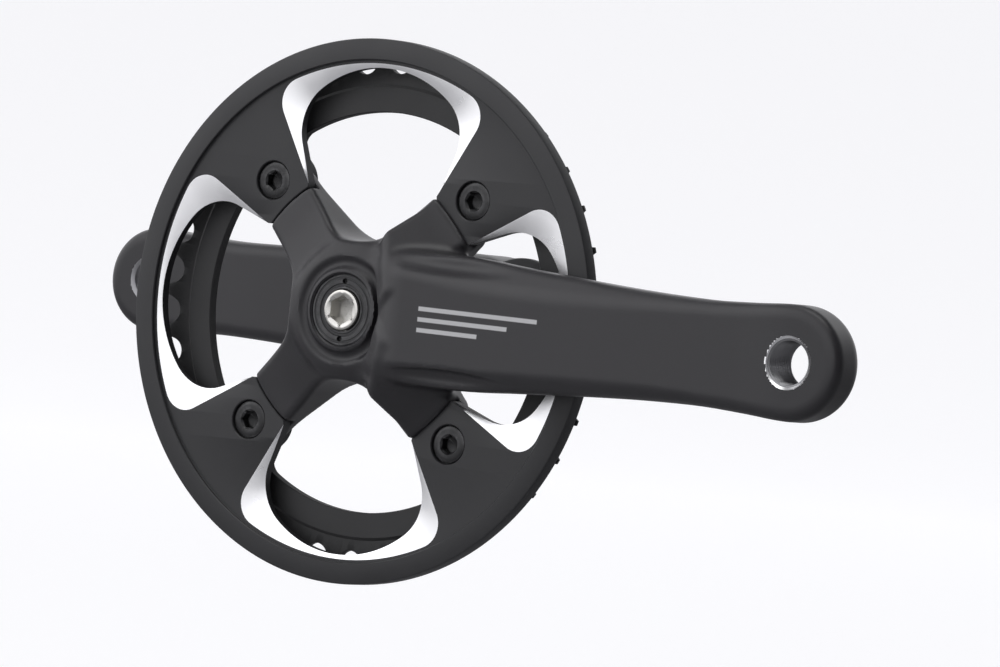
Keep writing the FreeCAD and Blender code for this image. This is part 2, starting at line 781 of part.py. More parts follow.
def spider_corners():
    """Plan of the four-armed spider: straight-sided arms, round tips, and round crotches between."""
    half = dim.spider_half_width
    crotch = dim.spider_crotch_radius
    foot = half + crotch
    reach = dim.bolt_circle_radius
    tip_radius = half * TAB_ROUND
    corners = []
    for quarter in range(SPIDER_ARMS):
        angle = math.radians(45 + 90 * quarter)
        along_x, along_z = math.cos(angle), math.sin(angle)
        for along, across, bend in (
            (foot, -half, None),
            (reach, -half, (tip_radius, True)),
            (reach, half, None),
            (foot, half, (crotch, False)),
        ):
            x = along * along_x - across * along_z
            z = along * along_z + across * along_x
            corners.append((x, z) if bend is None else (x, z) + bend)
    return corners


def add_spider(body):
    """Star-shaped plate, then turned front and back to its dished section."""
    lowest = dim.hub_inner
    star = outline(body, "spider_plan", "XZ_Plane", spider_corners(), offset=-lowest)
    raise_outboard(body, "spider_blank", star, dim.hub_outer - lowest)
    tab_outer = dim.spider_tab_inner + dim.spider_tab_thickness
    beyond_tip = dim.bolt_circle_radius + dim.spider_half_width * 2
    turn(body, "spider_front", [
        (dim.hub_radius, dim.hub_outer),
        (dim.spider_middle_radius, dim.spider_middle_out),
        (dim.spider_step_radius, dim.spider_step_out),
        (dim.spider_step_radius, tab_outer),
        (beyond_tip, tab_outer),
        (beyond_tip, dim.hub_outer + BEYOND),
        (dim.hub_radius, dim.hub_outer + BEYOND),
    ], "Groove")
    turn(body, "spider_back", [
        (dim.hub_radius, lowest - BEYOND),
        (beyond_tip, lowest - BEYOND),
        (beyond_tip, dim.spider_tab_inner),
        (dim.spider_back_radius, dim.spider_tab_inner),
        (dim.hub_radius, lowest),
    ], "Groove")


def cut_bolt_holes(body, radius, start, length):
    """Four holes on the bolt circle, for the sleeve nuts."""
    place = dim.bolt_circle_radius * HALF_RIGHT
    sketch = circles(body, "bolt_hole_outline_%d" % len(body.Group), "XZ_Plane", [(place, place, radius)],
                     offset=-start)
    hole = sink_outboard(body, "bolt_hole_%d" % len(body.Group), sketch, length)
    repeat_round(body, "bolt_holes_%d" % len(body.Group), hole, SPIDER_ARMS)


def make_drive_arm():
    body = new_body("drive_arm_body")
    add_spider(body)
    add_hub(body)
    add_arm(body)
    cut_bolt_holes(body, dim.sleeve_nut_radius + dim.fit_clearance,
                   dim.spider_tab_inner - OVERLAP, dim.spider_tab_thickness + 2 * OVERLAP)
    body.Tip = cut_hub(body)
    keep(body, "drive_crank_arm", "drive")


def make_left_arm():
    body = new_body("left_arm_body")
    add_hub(body)
    add_arm(body)
    body.Tip = cut_hub(body)
    keep(body, "left_crank_arm", "left")


# ---------------------------------------------------------------- chainring and guard

def make_chainring():
    """Toothed plate with four tabs; the chain's rollers sit at the pitch radius."""
    body = new_body("chainring_body")
    pitch_radius = dim.chain_pitch / (2 * sine(180 / dim.tooth_count))
    tip_radius = pitch_radius + dim.tooth_height_over_pitch
    front = dim.spider_tab_inner
    back = front - dim.ring_thickness
    middle = front - dim.ring_thickness / 2
    plate_back = middle - dim.tooth_thickness / 2
    plate_front = middle + dim.tooth_thickness / 2
    turn(body, "plate", [
        (dim.ring_inner_radius, back),
        (dim.ring_body_radius, back),
        (dim.ring_body_radius + dim.tooth_shoulder, plate_back),
        (tip_radius, plate_back),
        (tip_radius, plate_front),
        (dim.ring_body_radius + dim.tooth_shoulder, plate_front),
        (dim.ring_body_radius, front),
        (dim.ring_inner_radius, front),
    ])
    half = dim.ring_tab_half_width * HALF_RIGHT
    bolt = dim.bolt_circle_radius * HALF_RIGHT
    overlap = (dim.ring_inner_radius + BEYOND) * HALF_RIGHT
    tab_outline = outline(body, "tab_outline", "XZ_Plane", [
        (overlap - half, overlap + half),
        (bolt - half, bolt + half, dim.ring_tab_half_width * TAB_ROUND, True),
        (bolt + half, bolt - half),
        (overlap + half, overlap - half),
    ], offset=-back)
    tab = raise_outboard(body, "tab", tab_outline, dim.ring_thickness)
    repeat_round(body, "tabs", tab, SPIDER_ARMS)
    roller = dim.roller_radius + dim.running_clearance
    floor_half = roller * SEAT_SHARE
    floor_rise = root(roller * roller - floor_half * floor_half)
    top = tip_radius + OVERLAP
    gap_outline = outline(body, "gap_outline", "XZ_Plane", [
        (-dim.tooth_gap_half_mouth, top),
        (-floor_half, pitch_radius - floor_rise, roller, True),
        (floor_half, pitch_radius - floor_rise),
        (dim.tooth_gap_half_mouth, top),
    ], offset=-(back - OVERLAP))
    gap = sink_outboard(body, "gap", gap_outline, dim.ring_thickness + 2 * OVERLAP)
    repeat_round(body, "gaps", gap, dim.tooth_count)
    hole = dim.sleeve_nut_radius + dim.fit_clearance
    cut_bolt_holes(body, hole, back - OVERLAP, dim.ring_thickness + 2 * OVERLAP)
    recess = dim.sleeve_nut_flange_radius + dim.running_clearance
    cut_bolt_holes(body, recess, back - OVERLAP, dim.sleeve_nut_recess_depth + OVERLAP)
    keep(body, "chainring", "drive")


def petal_corners():
    """Outline of the bright bevel's outer edge: a rounded sector, from foot to foot."""
    side_x = sine(dim.petal_half_angle)
    side_z = cosine(dim.petal_half_angle)
    corner = dim.petal_corner_radius
    centre_radius = dim.petal_radius - corner
    lean = dim.petal_half_angle - arc_sine(corner / centre_radius)
    side_reach = root(centre_radius * centre_radius - corner * corner)
    foot = root(dim.window_foot_x * dim.window_foot_x + dim.window_foot_z * dim.window_foot_z)
    return [
        (foot * side_x, foot * side_z),
        (side_reach * side_x, side_reach * side_z, corner, True),
        (dim.petal_radius * sine(lean), dim.petal_radius * cosine(lean), dim.petal_radius, True),
        (-dim.petal_radius * sine(lean), dim.petal_radius * cosine(lean), corner, True),
        (-side_reach * side_x, side_reach * side_z),
        (-foot * side_x, foot * side_z),
    ]


def window_corners():
    """Outline of the window itself: a wide arch on two round shoulders, from foot to foot."""
    top = dim.window_top_radius
    corner = dim.window_corner_radius
    arch_centre = dim.window_top - top
    rise = dim.window_corner_z - arch_centre
    reach = root(dim.window_corner_x * dim.window_corner_x + rise * rise)
    join_x = dim.window_corner_x / reach * top
    join_z = arch_centre + rise / reach * top
    widest = dim.window_corner_x + corner
    return [
        (dim.window_foot_x, dim.window_foot_z),
        (widest, dim.window_corner_z, corner, True),
        (join_x, join_z, top, True),
        (-join_x, join_z, corner, True),
        (-widest, dim.window_corner_z),
        (-dim.window_foot_x, dim.window_foot_z),
    ]


def make_chain_guard():
    """Flat ring with a raised rim, four petal windows and a counterbore for each bolt."""
    body = new_body("guard_body")
    back = dim.spider_tab_inner + dim.spider_tab_thickness
    face = back + dim.guard_face_thickness
    rim = face + dim.guard_rim_height
    turn(body, "disc", [
        (dim.guard_bore_radius, back),
        (dim.guard_radius, back),
        (dim.guard_radius, rim),
        (dim.guard_step_radius, rim),
        (dim.guard_step_radius - dim.guard_step_slope, face),
        (dim.guard_bore_radius, face),
    ])
    window_outline = outline(body, "window_outline", "XZ_Plane", window_corners(), offset=-(back - OVERLAP))
    window = sink_outboard(body, "window", window_outline, dim.guard_face_thickness + 2 * BEYOND)
    repeat_round(body, "windows", window, SPIDER_ARMS)
    bevel_floor = outline(body, "bevel_floor", "XZ_Plane", window_corners(), offset=-(face - dim.bevel_depth))
    bevel_top = outline(body, "bevel_top", "XZ_Plane", petal_corners(), offset=-(face + SKIN))
    bevel = body.newObject("PartDesign::SubtractiveLoft", "bevel")
    bevel.Profile = bevel_floor
    bevel.Sections = [bevel_top]
    bevel.Ruled = True
    repeat_round(body, "bevels", bevel, SPIDER_ARMS)
    cut_half = dim.window_foot_x - dim.foot_cut_inset
    cut_end = dim.guard_bore_radius - dim.foot_cut_depth
    foot_outline = outline(body, "foot_outline", "XZ_Plane", [
        (-dim.window_foot_x, dim.window_foot_z + SKIN),
        (-cut_half, cut_end),
        (cut_half, cut_end),
        (dim.window_foot_x, dim.window_foot_z + SKIN),
    ], offset=-(back - OVERLAP))
    foot = sink_outboard(body, "foot", foot_outline, dim.guard_face_thickness + 2 * BEYOND)
    repeat_round(body, "feet", foot, SPIDER_ARMS)
    hole = dim.sleeve_nut_radius + dim.fit_clearance
    cut_bolt_holes(body, hole, back - OVERLAP, dim.guard_face_thickness + 2 * OVERLAP)
    counterbore_floor = face - dim.counterbore_depth
    cut_bolt_holes(body, dim.counterbore_radius, counterbore_floor, dim.counterbore_depth + BEYOND)
    keep(body, "chain_guard", "drive")


def make_chainring_bolts():
    """Four flat-headed bolts with hexagon sockets, in the guard's counterbores."""
    place = dim.bolt_circle_radius * HALF_RIGHT
    face = dim.spider_tab_inner + dim.spider_tab_thickness + dim.guard_face_thickness
    seat = face - dim.counterbore_depth
    ring_back = dim.spider_tab_inner - dim.ring_thickness
    tip = ring_back + dim.sleeve_nut_recess_depth
    head = rod("head", dim.bolt_head_radius, seat, dim.bolt_head_thickness, place, place)
    shank = rod("shank", dim.bolt_shank_radius, tip, seat - tip + dim.bolt_head_thickness / 2, place, place)
    head_top = seat + dim.bolt_head_thickness
    key_start = head_top - dim.bolt_key_depth
    key = hexagon("key", dim.bolt_key_width, key_start, dim.bolt_key_depth + OVERLAP, place, place)
    bolt = take_away("bolt", join("bolt_blank", head, shank), key)
    keep(copies_round("bolt_group", bolt, SPIDER_ARMS, 0), "chainring_bolts", "drive")


def make_chainring_nuts():
    """Four sleeve nuts, pushed in from the back of the chainring."""
    place = dim.bolt_circle_radius * HALF_RIGHT
    face = dim.spider_tab_inner + dim.spider_tab_thickness + dim.guard_face_thickness
    ring_back = dim.spider_tab_inner - dim.ring_thickness
    seat = ring_back + dim.sleeve_nut_recess_depth
    sleeve_end = face - dim.counterbore_depth - dim.sleeve_nut_short
    flange_start = seat - dim.sleeve_nut_flange_thickness
    flange_thickness = dim.sleeve_nut_flange_thickness
    flange = rod("flange", dim.sleeve_nut_flange_radius, flange_start, flange_thickness, place, place)
    sleeve = rod("sleeve", dim.sleeve_nut_radius, flange_start, sleeve_end - flange_start, place, place)
    bore_length = sleeve_end - flange_start + 2 * OVERLAP
    bore_radius = dim.bolt_shank_radius + dim.fit_clearance
    bore = rod("bore", bore_radius, flange_start - OVERLAP, bore_length, place, place)
    nut = take_away("nut", join("nut_blank", flange, sleeve), bore)
    keep(copies_round("nut_group", nut, SPIDER_ARMS, 0), "chainring_nuts", "drive")


# ---------------------------------------------------------------- the whole crankset

make_cartridge_sleeve()
for bearing_side in ("drive", "left"):
    make_cup(bearing_side)
    make_dust_seal(bearing_side)
    make_race(bearing_side, "outer", dim.sleeve_radius - dim.sleeve_wall, dim.outer_race_radius)
    make_race(bearing_side, "inner", dim.spindle_radius, dim.inner_race_radius)
    make_bearing_seals(bearing_side)
    make_balls(bearing_side)
    make_cage(bearing_side)
    make_crank_bolt(bearing_side)
    make_bolt_washer(bearing_side)
    make_extractor_cap(bearing_side)
make_spindle()
make_drive_arm()
make_left_arm()
make_chainring()
make_chain_guard()
make_chainring_bolts()
make_chainring_nuts()

document.recompute()
faults = [item.Name for item in document.Objects if "Invalid" in item.State or "Error" in item.State]
for sub_part in sub_parts:
    if sub_part.Shape.isNull() or not sub_part.Shape.isValid():
        faults.append(sub_part.Label)
if faults:
    raise RuntimeError("these did not build: " + ", ".join(faults))

os.makedirs("parts", exist_ok=True)
for sub_part in sub_parts:
    sub_part.Shape.exportStep("parts/%s.step" % sub_part.Label)
    print("%-22s %2d solids %10.1f mm3" % (sub_part.Label, len(sub_part.Shape.Solids), sub_part.Shape.Volume))
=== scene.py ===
# %% [markdown]
# # A bicycle crankset
# A crankset turns the push of the feet into the pull of the chain. This lesson dresses a finished
# mechanical model: its frame gives every place and size, and each visible piece is rebuilt here as a
# clean mesh with its own finish. Lengths are written in millimetres, and they become metres once, when
# a mesh is made. Each piece is drawn on the bench first: `along` runs down its crank arm, `out` points
# away from the middle of the bicycle, and `up` is up. It is then turned to the drive side or the left.

# %% Load the frame
import json
import math

import bmesh
import bpy
import numpy as np
from mathutils import Matrix, Vector
from mathutils.geometry import tessellate_polygon


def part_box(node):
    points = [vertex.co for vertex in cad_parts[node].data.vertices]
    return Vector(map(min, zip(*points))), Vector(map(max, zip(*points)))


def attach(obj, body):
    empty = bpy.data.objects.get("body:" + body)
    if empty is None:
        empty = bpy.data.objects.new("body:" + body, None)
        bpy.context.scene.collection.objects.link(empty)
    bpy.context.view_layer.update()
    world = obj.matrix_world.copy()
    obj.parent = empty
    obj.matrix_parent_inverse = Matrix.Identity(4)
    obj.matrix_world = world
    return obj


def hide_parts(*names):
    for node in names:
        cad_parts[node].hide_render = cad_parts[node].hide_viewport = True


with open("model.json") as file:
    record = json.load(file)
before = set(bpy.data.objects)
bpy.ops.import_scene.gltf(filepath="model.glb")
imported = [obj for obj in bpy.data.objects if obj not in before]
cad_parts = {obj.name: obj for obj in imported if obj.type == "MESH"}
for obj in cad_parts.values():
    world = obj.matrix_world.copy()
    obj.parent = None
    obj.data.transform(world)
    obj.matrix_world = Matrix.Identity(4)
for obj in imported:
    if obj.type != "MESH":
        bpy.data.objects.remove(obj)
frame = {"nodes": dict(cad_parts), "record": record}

MM = 0.001
TURN = 2 * math.pi
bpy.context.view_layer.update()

# %% [markdown]
# The places come from the frame. The drive side lies at negative Y, so a distance `out` on that side is
# minus Y. The helpers below read how far out a node starts and ends, and how large it is about the
# spindle, so that each new piece lands where the frame's piece was.

# %% Read places from the frame
BENCH_TO_SIDE = {"drive": np.array((1, -1, -1)), "left": np.array((-1, 1, -1))}


def out_range(node):
    """Where a drive-side node starts and ends, in millimetres from the middle of the bicycle."""
    low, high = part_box(node)
    return -high.y / MM, -low.y / MM


def reach(node):
    """How far a node reaches from the spindle axis along X, in millimetres."""
    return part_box(node)[1].x / MM


GUARD_BACK, GUARD_RIM_FACE = out_range("chain_guard")
GUARD_RADIUS = reach("chain_guard")
RING_BACK, RING_FACE = out_range("chainring")
TOOTH_TIP_RADIUS = reach("chainring")
CUP_INNER, CUP_OUTER = out_range("drive_cup")
SLEEVE_END = out_range("cartridge_sleeve")[1]
SPINDLE_END = out_range("spindle")[1]
EYE_RADIUS = 17.0
ARM_LENGTH = reach("drive_crank_arm") - EYE_RADIUS
EYE_FACE = out_range("drive_crank_arm")[1]
BOLT_CIRCLE = 52.0
BOLT_ANGLES = [math.radians(45 + 90 * k) for k in range(4)]
BOLT_CENTRES = [(BOLT_CIRCLE * math.cos(angle), BOLT_CIRCLE * math.sin(angle)) for angle in BOLT_ANGLES]
print("guard radius", round(GUARD_RADIUS, 2), "arm length", round(ARM_LENGTH, 1))

# %% [markdown]
# ## Camera
# A long lens from a few metres away keeps the circles of the ring and guard nearly undistorted, as in a
# catalogue view of a whole bicycle. The camera is rolled a little, so the crank arm, which is level in
# the frame, points slightly downwards in the view.

# %% Camera
CAMERA_PLACE = Vector((1.268, -1.922, 0.039))
CAMERA_UP = Vector((-0.1234, 0.0, 0.9924))
CAMERA_LENS = 268


def aim(camera_place, target, up):
    """A camera matrix that looks from one point at another, with the given direction upwards."""
    back = (camera_place - target).normalized()
    right = up.cross(back).normalized()
    turned_up = back.cross(right)
    return Matrix.Translation(camera_place) @ Matrix((right, turned_up, back)).transposed().to_4x4()


look_at = Vector((0.045, -0.045, -0.002))
camera = bpy.data.objects.new("camera", bpy.data.cameras.new("camera"))
camera.data.lens = CAMERA_LENS
camera.data.clip_end = 50
camera.matrix_world = aim(CAMERA_PLACE, look_at, CAMERA_UP)
bpy.context.scene.collection.objects.link(camera)
bpy.context.scene.camera = camera
print("camera stands", round((CAMERA_PLACE - look_at).length, 2), "m away")

# %% [markdown]
# ## From loops to meshes
# Most pieces here are turned on a lathe or cut from plate, so nearly all of them can be made of closed
# loops of points joined by strips of quads. These helpers make the loops, join them and close the mesh.

# %% Mesh helpers
SHARP_DEGREES = 32
MERGE_DISTANCE = 0.002 * MM
ON_AXIS = 1e-6
RING_SAMPLES = 96


def shade(mesh, sharp_degrees=SHARP_DEGREES):
    """Smooth shading that breaks where two faces meet at more than the given angle."""
    mesh.polygons.foreach_set("use_smooth", np.ones(len(mesh.polygons), bool))
    mesh.set_sharp_from_angle(angle=math.radians(sharp_degrees))


def object_from(name, points, faces, face_slots=None, sharp_degrees=SHARP_DEGREES):
    """A mesh object from points in metres. Doubles are merged and faces turned outwards."""
    mesh = bpy.data.meshes.new(name)
    mesh.from_pydata([tuple(point) for point in np.asarray(points)], [], [tuple(face) for face in faces])
    if face_slots is not None:
        mesh.polygons.foreach_set("material_index", np.asarray(face_slots, np.int32))
    tidy = bmesh.new()
    tidy.from_mesh(mesh)
    bmesh.ops.remove_doubles(tidy, verts=tidy.verts, dist=MERGE_DISTANCE)
    bmesh.ops.dissolve_degenerate(tidy, edges=tidy.edges, dist=0.0005 * MM)
    if tidy.calc_volume(signed=True) < 0:
        bmesh.ops.reverse_faces(tidy, faces=tidy.faces)
    tidy.to_mesh(mesh)
    tidy.free()
    shade(mesh, sharp_degrees)
    made = bpy.data.objects.new(name, mesh)
    bpy.context.scene.collection.objects.link(made)
    return made


def report(piece):
    """Prints how large a finished piece is, and whether its surface is closed."""
    check = bmesh.new()
    check.from_mesh(piece.data)
    open_edges = sum(1 for edge in check.edges if len(edge.link_faces) != 2)
    triangles = sum(len(face.verts) - 2 for face in check.faces)
    check.free()
    size = [round(value / MM, 1) for value in piece.dimensions]
    print(f"{piece.name}: {size} mm, {triangles} triangles, {open_edges} open edges")


def on_side(points, side):
    """Bench coordinates (along, out, up) in millimetres, turned to one side and made metres."""
    return np.asarray(points, float) * BENCH_TO_SIDE[side] * MM


def ring_angles(samples):
    return np.arange(samples) * TURN / samples


def ring(out, radius, samples=RING_SAMPLES, centre=(0.0, 0.0)):
    """One loop of points round an axis. The radius is a number or a function of the angle."""
    angles = ring_angles(samples)
    radii = radius(angles) if callable(radius) else np.full(samples, float(radius))
    outs = np.full(samples, float(out))
    return np.stack([centre[0] + radii * np.cos(angles), outs, centre[1] + radii * np.sin(angles)], 1)


def joined_rings(rings, closed):
    """Quads between neighbouring loops. A closed list also joins its last loop to its first."""
    samples = len(rings[0])
    step = np.arange(samples)
    after = (step + 1) % samples
    faces = []
    for row in range(len(rings) if closed else len(rings) - 1):
        near, far = row * samples, ((row + 1) % len(rings)) * samples
        faces += np.stack([near + step, near + after, far + after, far + step], 1).tolist()
    return np.concatenate(rings), faces


def eased(profile, size=0.2):
    """Cuts each plain corner of a closed profile by a small edge break, which catches the light."""
    softened = []
    count = len(profile)
    for k, corner in enumerate(profile):
        neighbours = (profile[k - 1], profile[(k + 1) % count])
        if corner[1] < ON_AXIS:
            softened.append(corner)
            continue
        for other in neighbours:
            gap = math.dist(corner, other)
            share = min(size, 0.4 * gap) / gap
            softened.append(tuple(a + (b - a) * share for a, b in zip(corner, other)))
    return softened


def turned(name, profile, side="drive", samples=RING_SAMPLES, centre=(0.0, 0.0)):
    """A turned solid from (out, radius) steps: closed round the axis, with its ends on the axis or joined."""
    on_axis = not callable(profile[0][1]) and profile[0][1] < ON_AXIS
    rings = [ring(out, radius, samples, centre) for out, radius in profile]
    points, faces = joined_rings(rings, closed=not on_axis)
    return object_from(name, on_side(points, side), faces)


def hexagon(width):
    """Radius of a hexagon, as wide as a key's flats, at each angle."""
    def radius(angles):
        from_flat = (angles + math.pi / 6) % (math.pi / 3) - math.pi / 6
        return width / 2 / np.cos(from_flat)
    return radius


def rounded_hexagon(width, blend):
    """Between a circle of that width (blend 0) and the full hexagon (blend 1)."""
    sharp = hexagon(width)
    return lambda angles: sharp(angles) * blend + width / 2 * 1.06 * (1 - blend)


RINGS_A_PITCH = 6


def thread_steps(start, end, root, crest, pitch, hand=1, fade=1.2):
    """Rings of a screw thread: the radius waves with the distance along, a turn for each pitch."""
    profile = []
    for out in np.arange(start, end + 1e-6, pitch / RINGS_A_PITCH):
        strength = min(1.0, (out - start) / fade, (end - out) / fade)

        def radius(angles, out=out, strength=strength):
            phase = (out / pitch + hand * angles / TURN) % 1.0
            wave = np.clip(1.35 * (1 - np.abs(2 * phase - 1)) - 0.15, 0, 1)
            return root + (crest - root) * wave * max(strength, 0.0)
        profile.append((float(out), radius))
    return profile


# %% [markdown]
# ## Shared finish groups
# Real finishes differ less by colour than by what the surface went through. Four small node groups hold
# that history: fine grain from blasting and anodising, rings left by turning, edges rubbed bright, and
# dust that settles on faces that look up. A group only works out values; each material still owns its
# own shader, so the gloss of every piece stays easy to find and change.

# %% Node group helper
def new_group(name, inputs, outputs):
    """An empty shader group with named sockets, and its two ends."""
    group = bpy.data.node_groups.new(name, "ShaderNodeTree")
    for label, kind, value in inputs:
        socket = group.interface.new_socket(label, in_out="INPUT", socket_type=kind)
        if value is not None:
            socket.default_value = value
    for label, kind in outputs:
        group.interface.new_socket(label, in_out="OUTPUT", socket_type=kind)
    start = group.nodes.new("NodeGroupInput")
    end = group.nodes.new("NodeGroupOutput")
    return group, start, end


def add(tree, kind, links=(), **settings):
    """A node with its settings, and its inputs linked or set by name or number."""
    node = tree.nodes.new(kind)
    for key, value in settings.items():
        setattr(node, key, value)
    for socket, value in dict(links).items():
        if isinstance(value, bpy.types.NodeSocket):
            tree.links.new(value, node.inputs[socket])
        else:
            node.inputs[socket].default_value = value
    return node


def math_node(tree, operation, first, second=0.0, clamp=False):
    return add(tree, "ShaderNodeMath", {0: first, 1: second}, operation=operation, use_clamp=clamp).outputs[0]


FLOAT, VECTOR = "NodeSocketFloat", "NodeSocketVector"

# %% Fine grain
grain_group, start, end = new_group(
    "fine_grain",
    [("Vector", VECTOR, None), ("Size", FLOAT, 0.0004), ("Blotch", FLOAT, 0.02)],
    [("Height", FLOAT), ("Variation", FLOAT)])
fine_scale = math_node(grain_group, "DIVIDE", 1.0, start.outputs["Size"])
broad_scale = math_node(grain_group, "DIVIDE", 1.0, start.outputs["Blotch"])
fine = add(grain_group, "ShaderNodeTexNoise",
           {"Vector": start.outputs["Vector"], "Scale": fine_scale, "Detail": 3.0, "Roughness": 0.6})
broad = add(grain_group, "ShaderNodeTexNoise",
            {"Vector": start.outputs["Vector"], "Scale": broad_scale, "Detail": 4.0, "Roughness": 0.55})
grain_group.links.new(fine.outputs["Fac"], end.inputs["Height"])
grain_group.links.new(broad.outputs["Fac"], end.inputs["Variation"])
print("group", grain_group.name)

# %% Turning marks
turning_group, start, end = new_group(
    "turning_marks",
    [("Vector", VECTOR, None), ("Pitch", FLOAT, 0.00025), ("Centre X", FLOAT, 0.0), ("Centre Z", FLOAT, 0.0)],
    [("Height", FLOAT)])
parts = add(turning_group, "ShaderNodeSeparateXYZ", {"Vector": start.outputs["Vector"]})
off_x = math_node(turning_group, "SUBTRACT", parts.outputs["X"], start.outputs["Centre X"])
off_z = math_node(turning_group, "SUBTRACT", parts.outputs["Z"], start.outputs["Centre Z"])
flat = add(turning_group, "ShaderNodeCombineXYZ", {"X": off_x, "Z": off_z})
radius = add(turning_group, "ShaderNodeVectorMath", {0: flat.outputs[0]}, operation="LENGTH")
section = add(turning_group, "ShaderNodeCombineXYZ", {"X": radius.outputs["Value"], "Y": parts.outputs["Y"]})
ring_scale = math_node(turning_group, "DIVIDE", 1.0, start.outputs["Pitch"])
rings_noise = add(turning_group, "ShaderNodeTexNoise",
                  {"Vector": section.outputs[0], "Scale": ring_scale, "Detail": 2.0})
turning_group.links.new(rings_noise.outputs["Fac"], end.inputs["Height"])
print("group", turning_group.name)

# %% Worn edges
wear_group, start, end = new_group(
    "worn_edges",
    [("Vector", VECTOR, None), ("Pointiness", FLOAT, 0.5), ("Amount", FLOAT, 0.5), ("Patch", FLOAT, 0.006)],
    [("Mask", FLOAT)])
edge = add(wear_group, "ShaderNodeMapRange",
           {"Value": start.outputs["Pointiness"], "From Min": 0.515, "From Max": 0.6})
patch_scale = math_node(wear_group, "DIVIDE", 1.0, start.outputs["Patch"])
patches = add(wear_group, "ShaderNodeTexNoise",
              {"Vector": start.outputs["Vector"], "Scale": patch_scale, "Detail": 5.0, "Roughness": 0.65})
spread = add(wear_group, "ShaderNodeMapRange",
             {"Value": patches.outputs["Fac"], "From Min": 0.42, "From Max": 0.62, "To Min": 0.15})
both = math_node(wear_group, "MULTIPLY", edge.outputs[0], spread.outputs[0])
scaled = math_node(wear_group, "MULTIPLY", both, start.outputs["Amount"], clamp=True)
wear_group.links.new(scaled, end.inputs["Mask"])
print("group", wear_group.name)

# %% Settled dust
dust_group, start, end = new_group(
    "settled_dust",
    [("Vector", VECTOR, None), ("Normal", VECTOR, None), ("Amount", FLOAT, 0.1)],
    [("Mask", FLOAT)])
facing = add(dust_group, "ShaderNodeSeparateXYZ", {"Vector": start.outputs["Normal"]})
upward = add(dust_group, "ShaderNodeMapRange",
             {"Value": facing.outputs["Z"], "From Min": 0.2})
specks = add(dust_group, "ShaderNodeTexNoise",
             {"Vector": start.outputs["Vector"], "Scale": 900.0, "Detail": 6.0, "Roughness": 0.7})
speck_mask = add(dust_group, "ShaderNodeMapRange",
                 {"Value": specks.outputs["Fac"], "From Min": 0.45, "From Max": 0.7})
dusty = math_node(dust_group, "MULTIPLY", upward.outputs[0], speck_mask.outputs[0])
dust_total = math_node(dust_group, "MULTIPLY", dusty, start.outputs["Amount"], clamp=True)
dust_group.links.new(dust_total, end.inputs["Mask"])
print("group", dust_group.name)

# %% [markdown]
# ## Materials
# Nearly everything here is black, and the pieces are told apart by how they shine: the forged arm has a
# soft satin skin, the guard is a flatter and finer black, the bolts are oily dark steel. One function
# lays out the common chain of grain, wear and dust, and each finish calls it with its own numbers. The
# machined parts add rings from the lathe. Colours are kept above pure black, as real anodising is.

# %% Finish builder
WORN_ALLOY = (0.42, 0.42, 0.43, 1.0)
DUST = (0.32, 0.31, 0.29, 1.0)


def mixed(tree, factor, first, second):
    """A colour mixed from two others."""
    return add(tree, "ShaderNodeMix", {0: factor, 6: first, 7: second}, data_type="RGBA").outputs[2]


def finish(name, colour, roughness, metallic=0.0, grain=0.0004, bump=0.06, wear=0.0, dust=0.06, turning=None,
           tint=0.25):
    """A material with fine grain, broad variation of tone and gloss, worn edges, dust and turning rings."""
    material = bpy.data.materials.new(name)
    material.use_nodes = True
    tree = material.node_tree
    shader = tree.nodes["Principled BSDF"]
    place = add(tree, "ShaderNodeTexCoord").outputs["Object"]
    geometry = add(tree, "ShaderNodeNewGeometry")
    surface = add(tree, "ShaderNodeGroup", {"Vector": place, "Size": grain}, node_tree=grain_group)
    edges = add(tree, "ShaderNodeGroup",
                {"Vector": place, "Pointiness": geometry.outputs["Pointiness"], "Amount": wear},
                node_tree=wear_group)
    settled = add(tree, "ShaderNodeGroup",
                  {"Vector": place, "Normal": geometry.outputs["Normal"], "Amount": dust},
                  node_tree=dust_group)
    darker = tuple(value * (1 - tint) for value in colour) + (1.0,)
    lighter = tuple(value * (1 + tint) for value in colour) + (1.0,)
    tone = mixed(tree, surface.outputs["Variation"], darker, lighter)
    rubbed = mixed(tree, edges.outputs["Mask"], tone, WORN_ALLOY)
    dusted = mixed(tree, settled.outputs["Mask"], rubbed, DUST)
    tree.links.new(dusted, shader.inputs["Base Color"])
    gloss = add(tree, "ShaderNodeMapRange",
                {"Value": surface.outputs["Variation"], "From Min": 0.3, "From Max": 0.7,
                 "To Min": roughness - 0.05, "To Max": roughness + 0.06})
    dull = add(tree, "ShaderNodeMath", {0: settled.outputs["Mask"], 1: 0.4, 2: gloss.outputs[0]},
               operation="MULTIPLY_ADD", use_clamp=True)
    tree.links.new(dull.outputs[0], shader.inputs["Roughness"])
    height = surface.outputs["Height"]
    if turning:
        lathe = add(tree, "ShaderNodeGroup", {"Vector": place, "Pitch": turning}, node_tree=turning_group)
        both = add(tree, "ShaderNodeMath",
                   {0: lathe.outputs["Height"], 1: 1.5, 2: surface.outputs["Height"]},
                   operation="MULTIPLY_ADD")
        height = both.outputs[0]
    relief = add(tree, "ShaderNodeBump", {"Height": height, "Strength": bump, "Distance": 0.0002})
    tree.links.new(relief.outputs["Normal"], shader.inputs["Normal"])
    shader.inputs["Metallic"].default_value = metallic
    return material


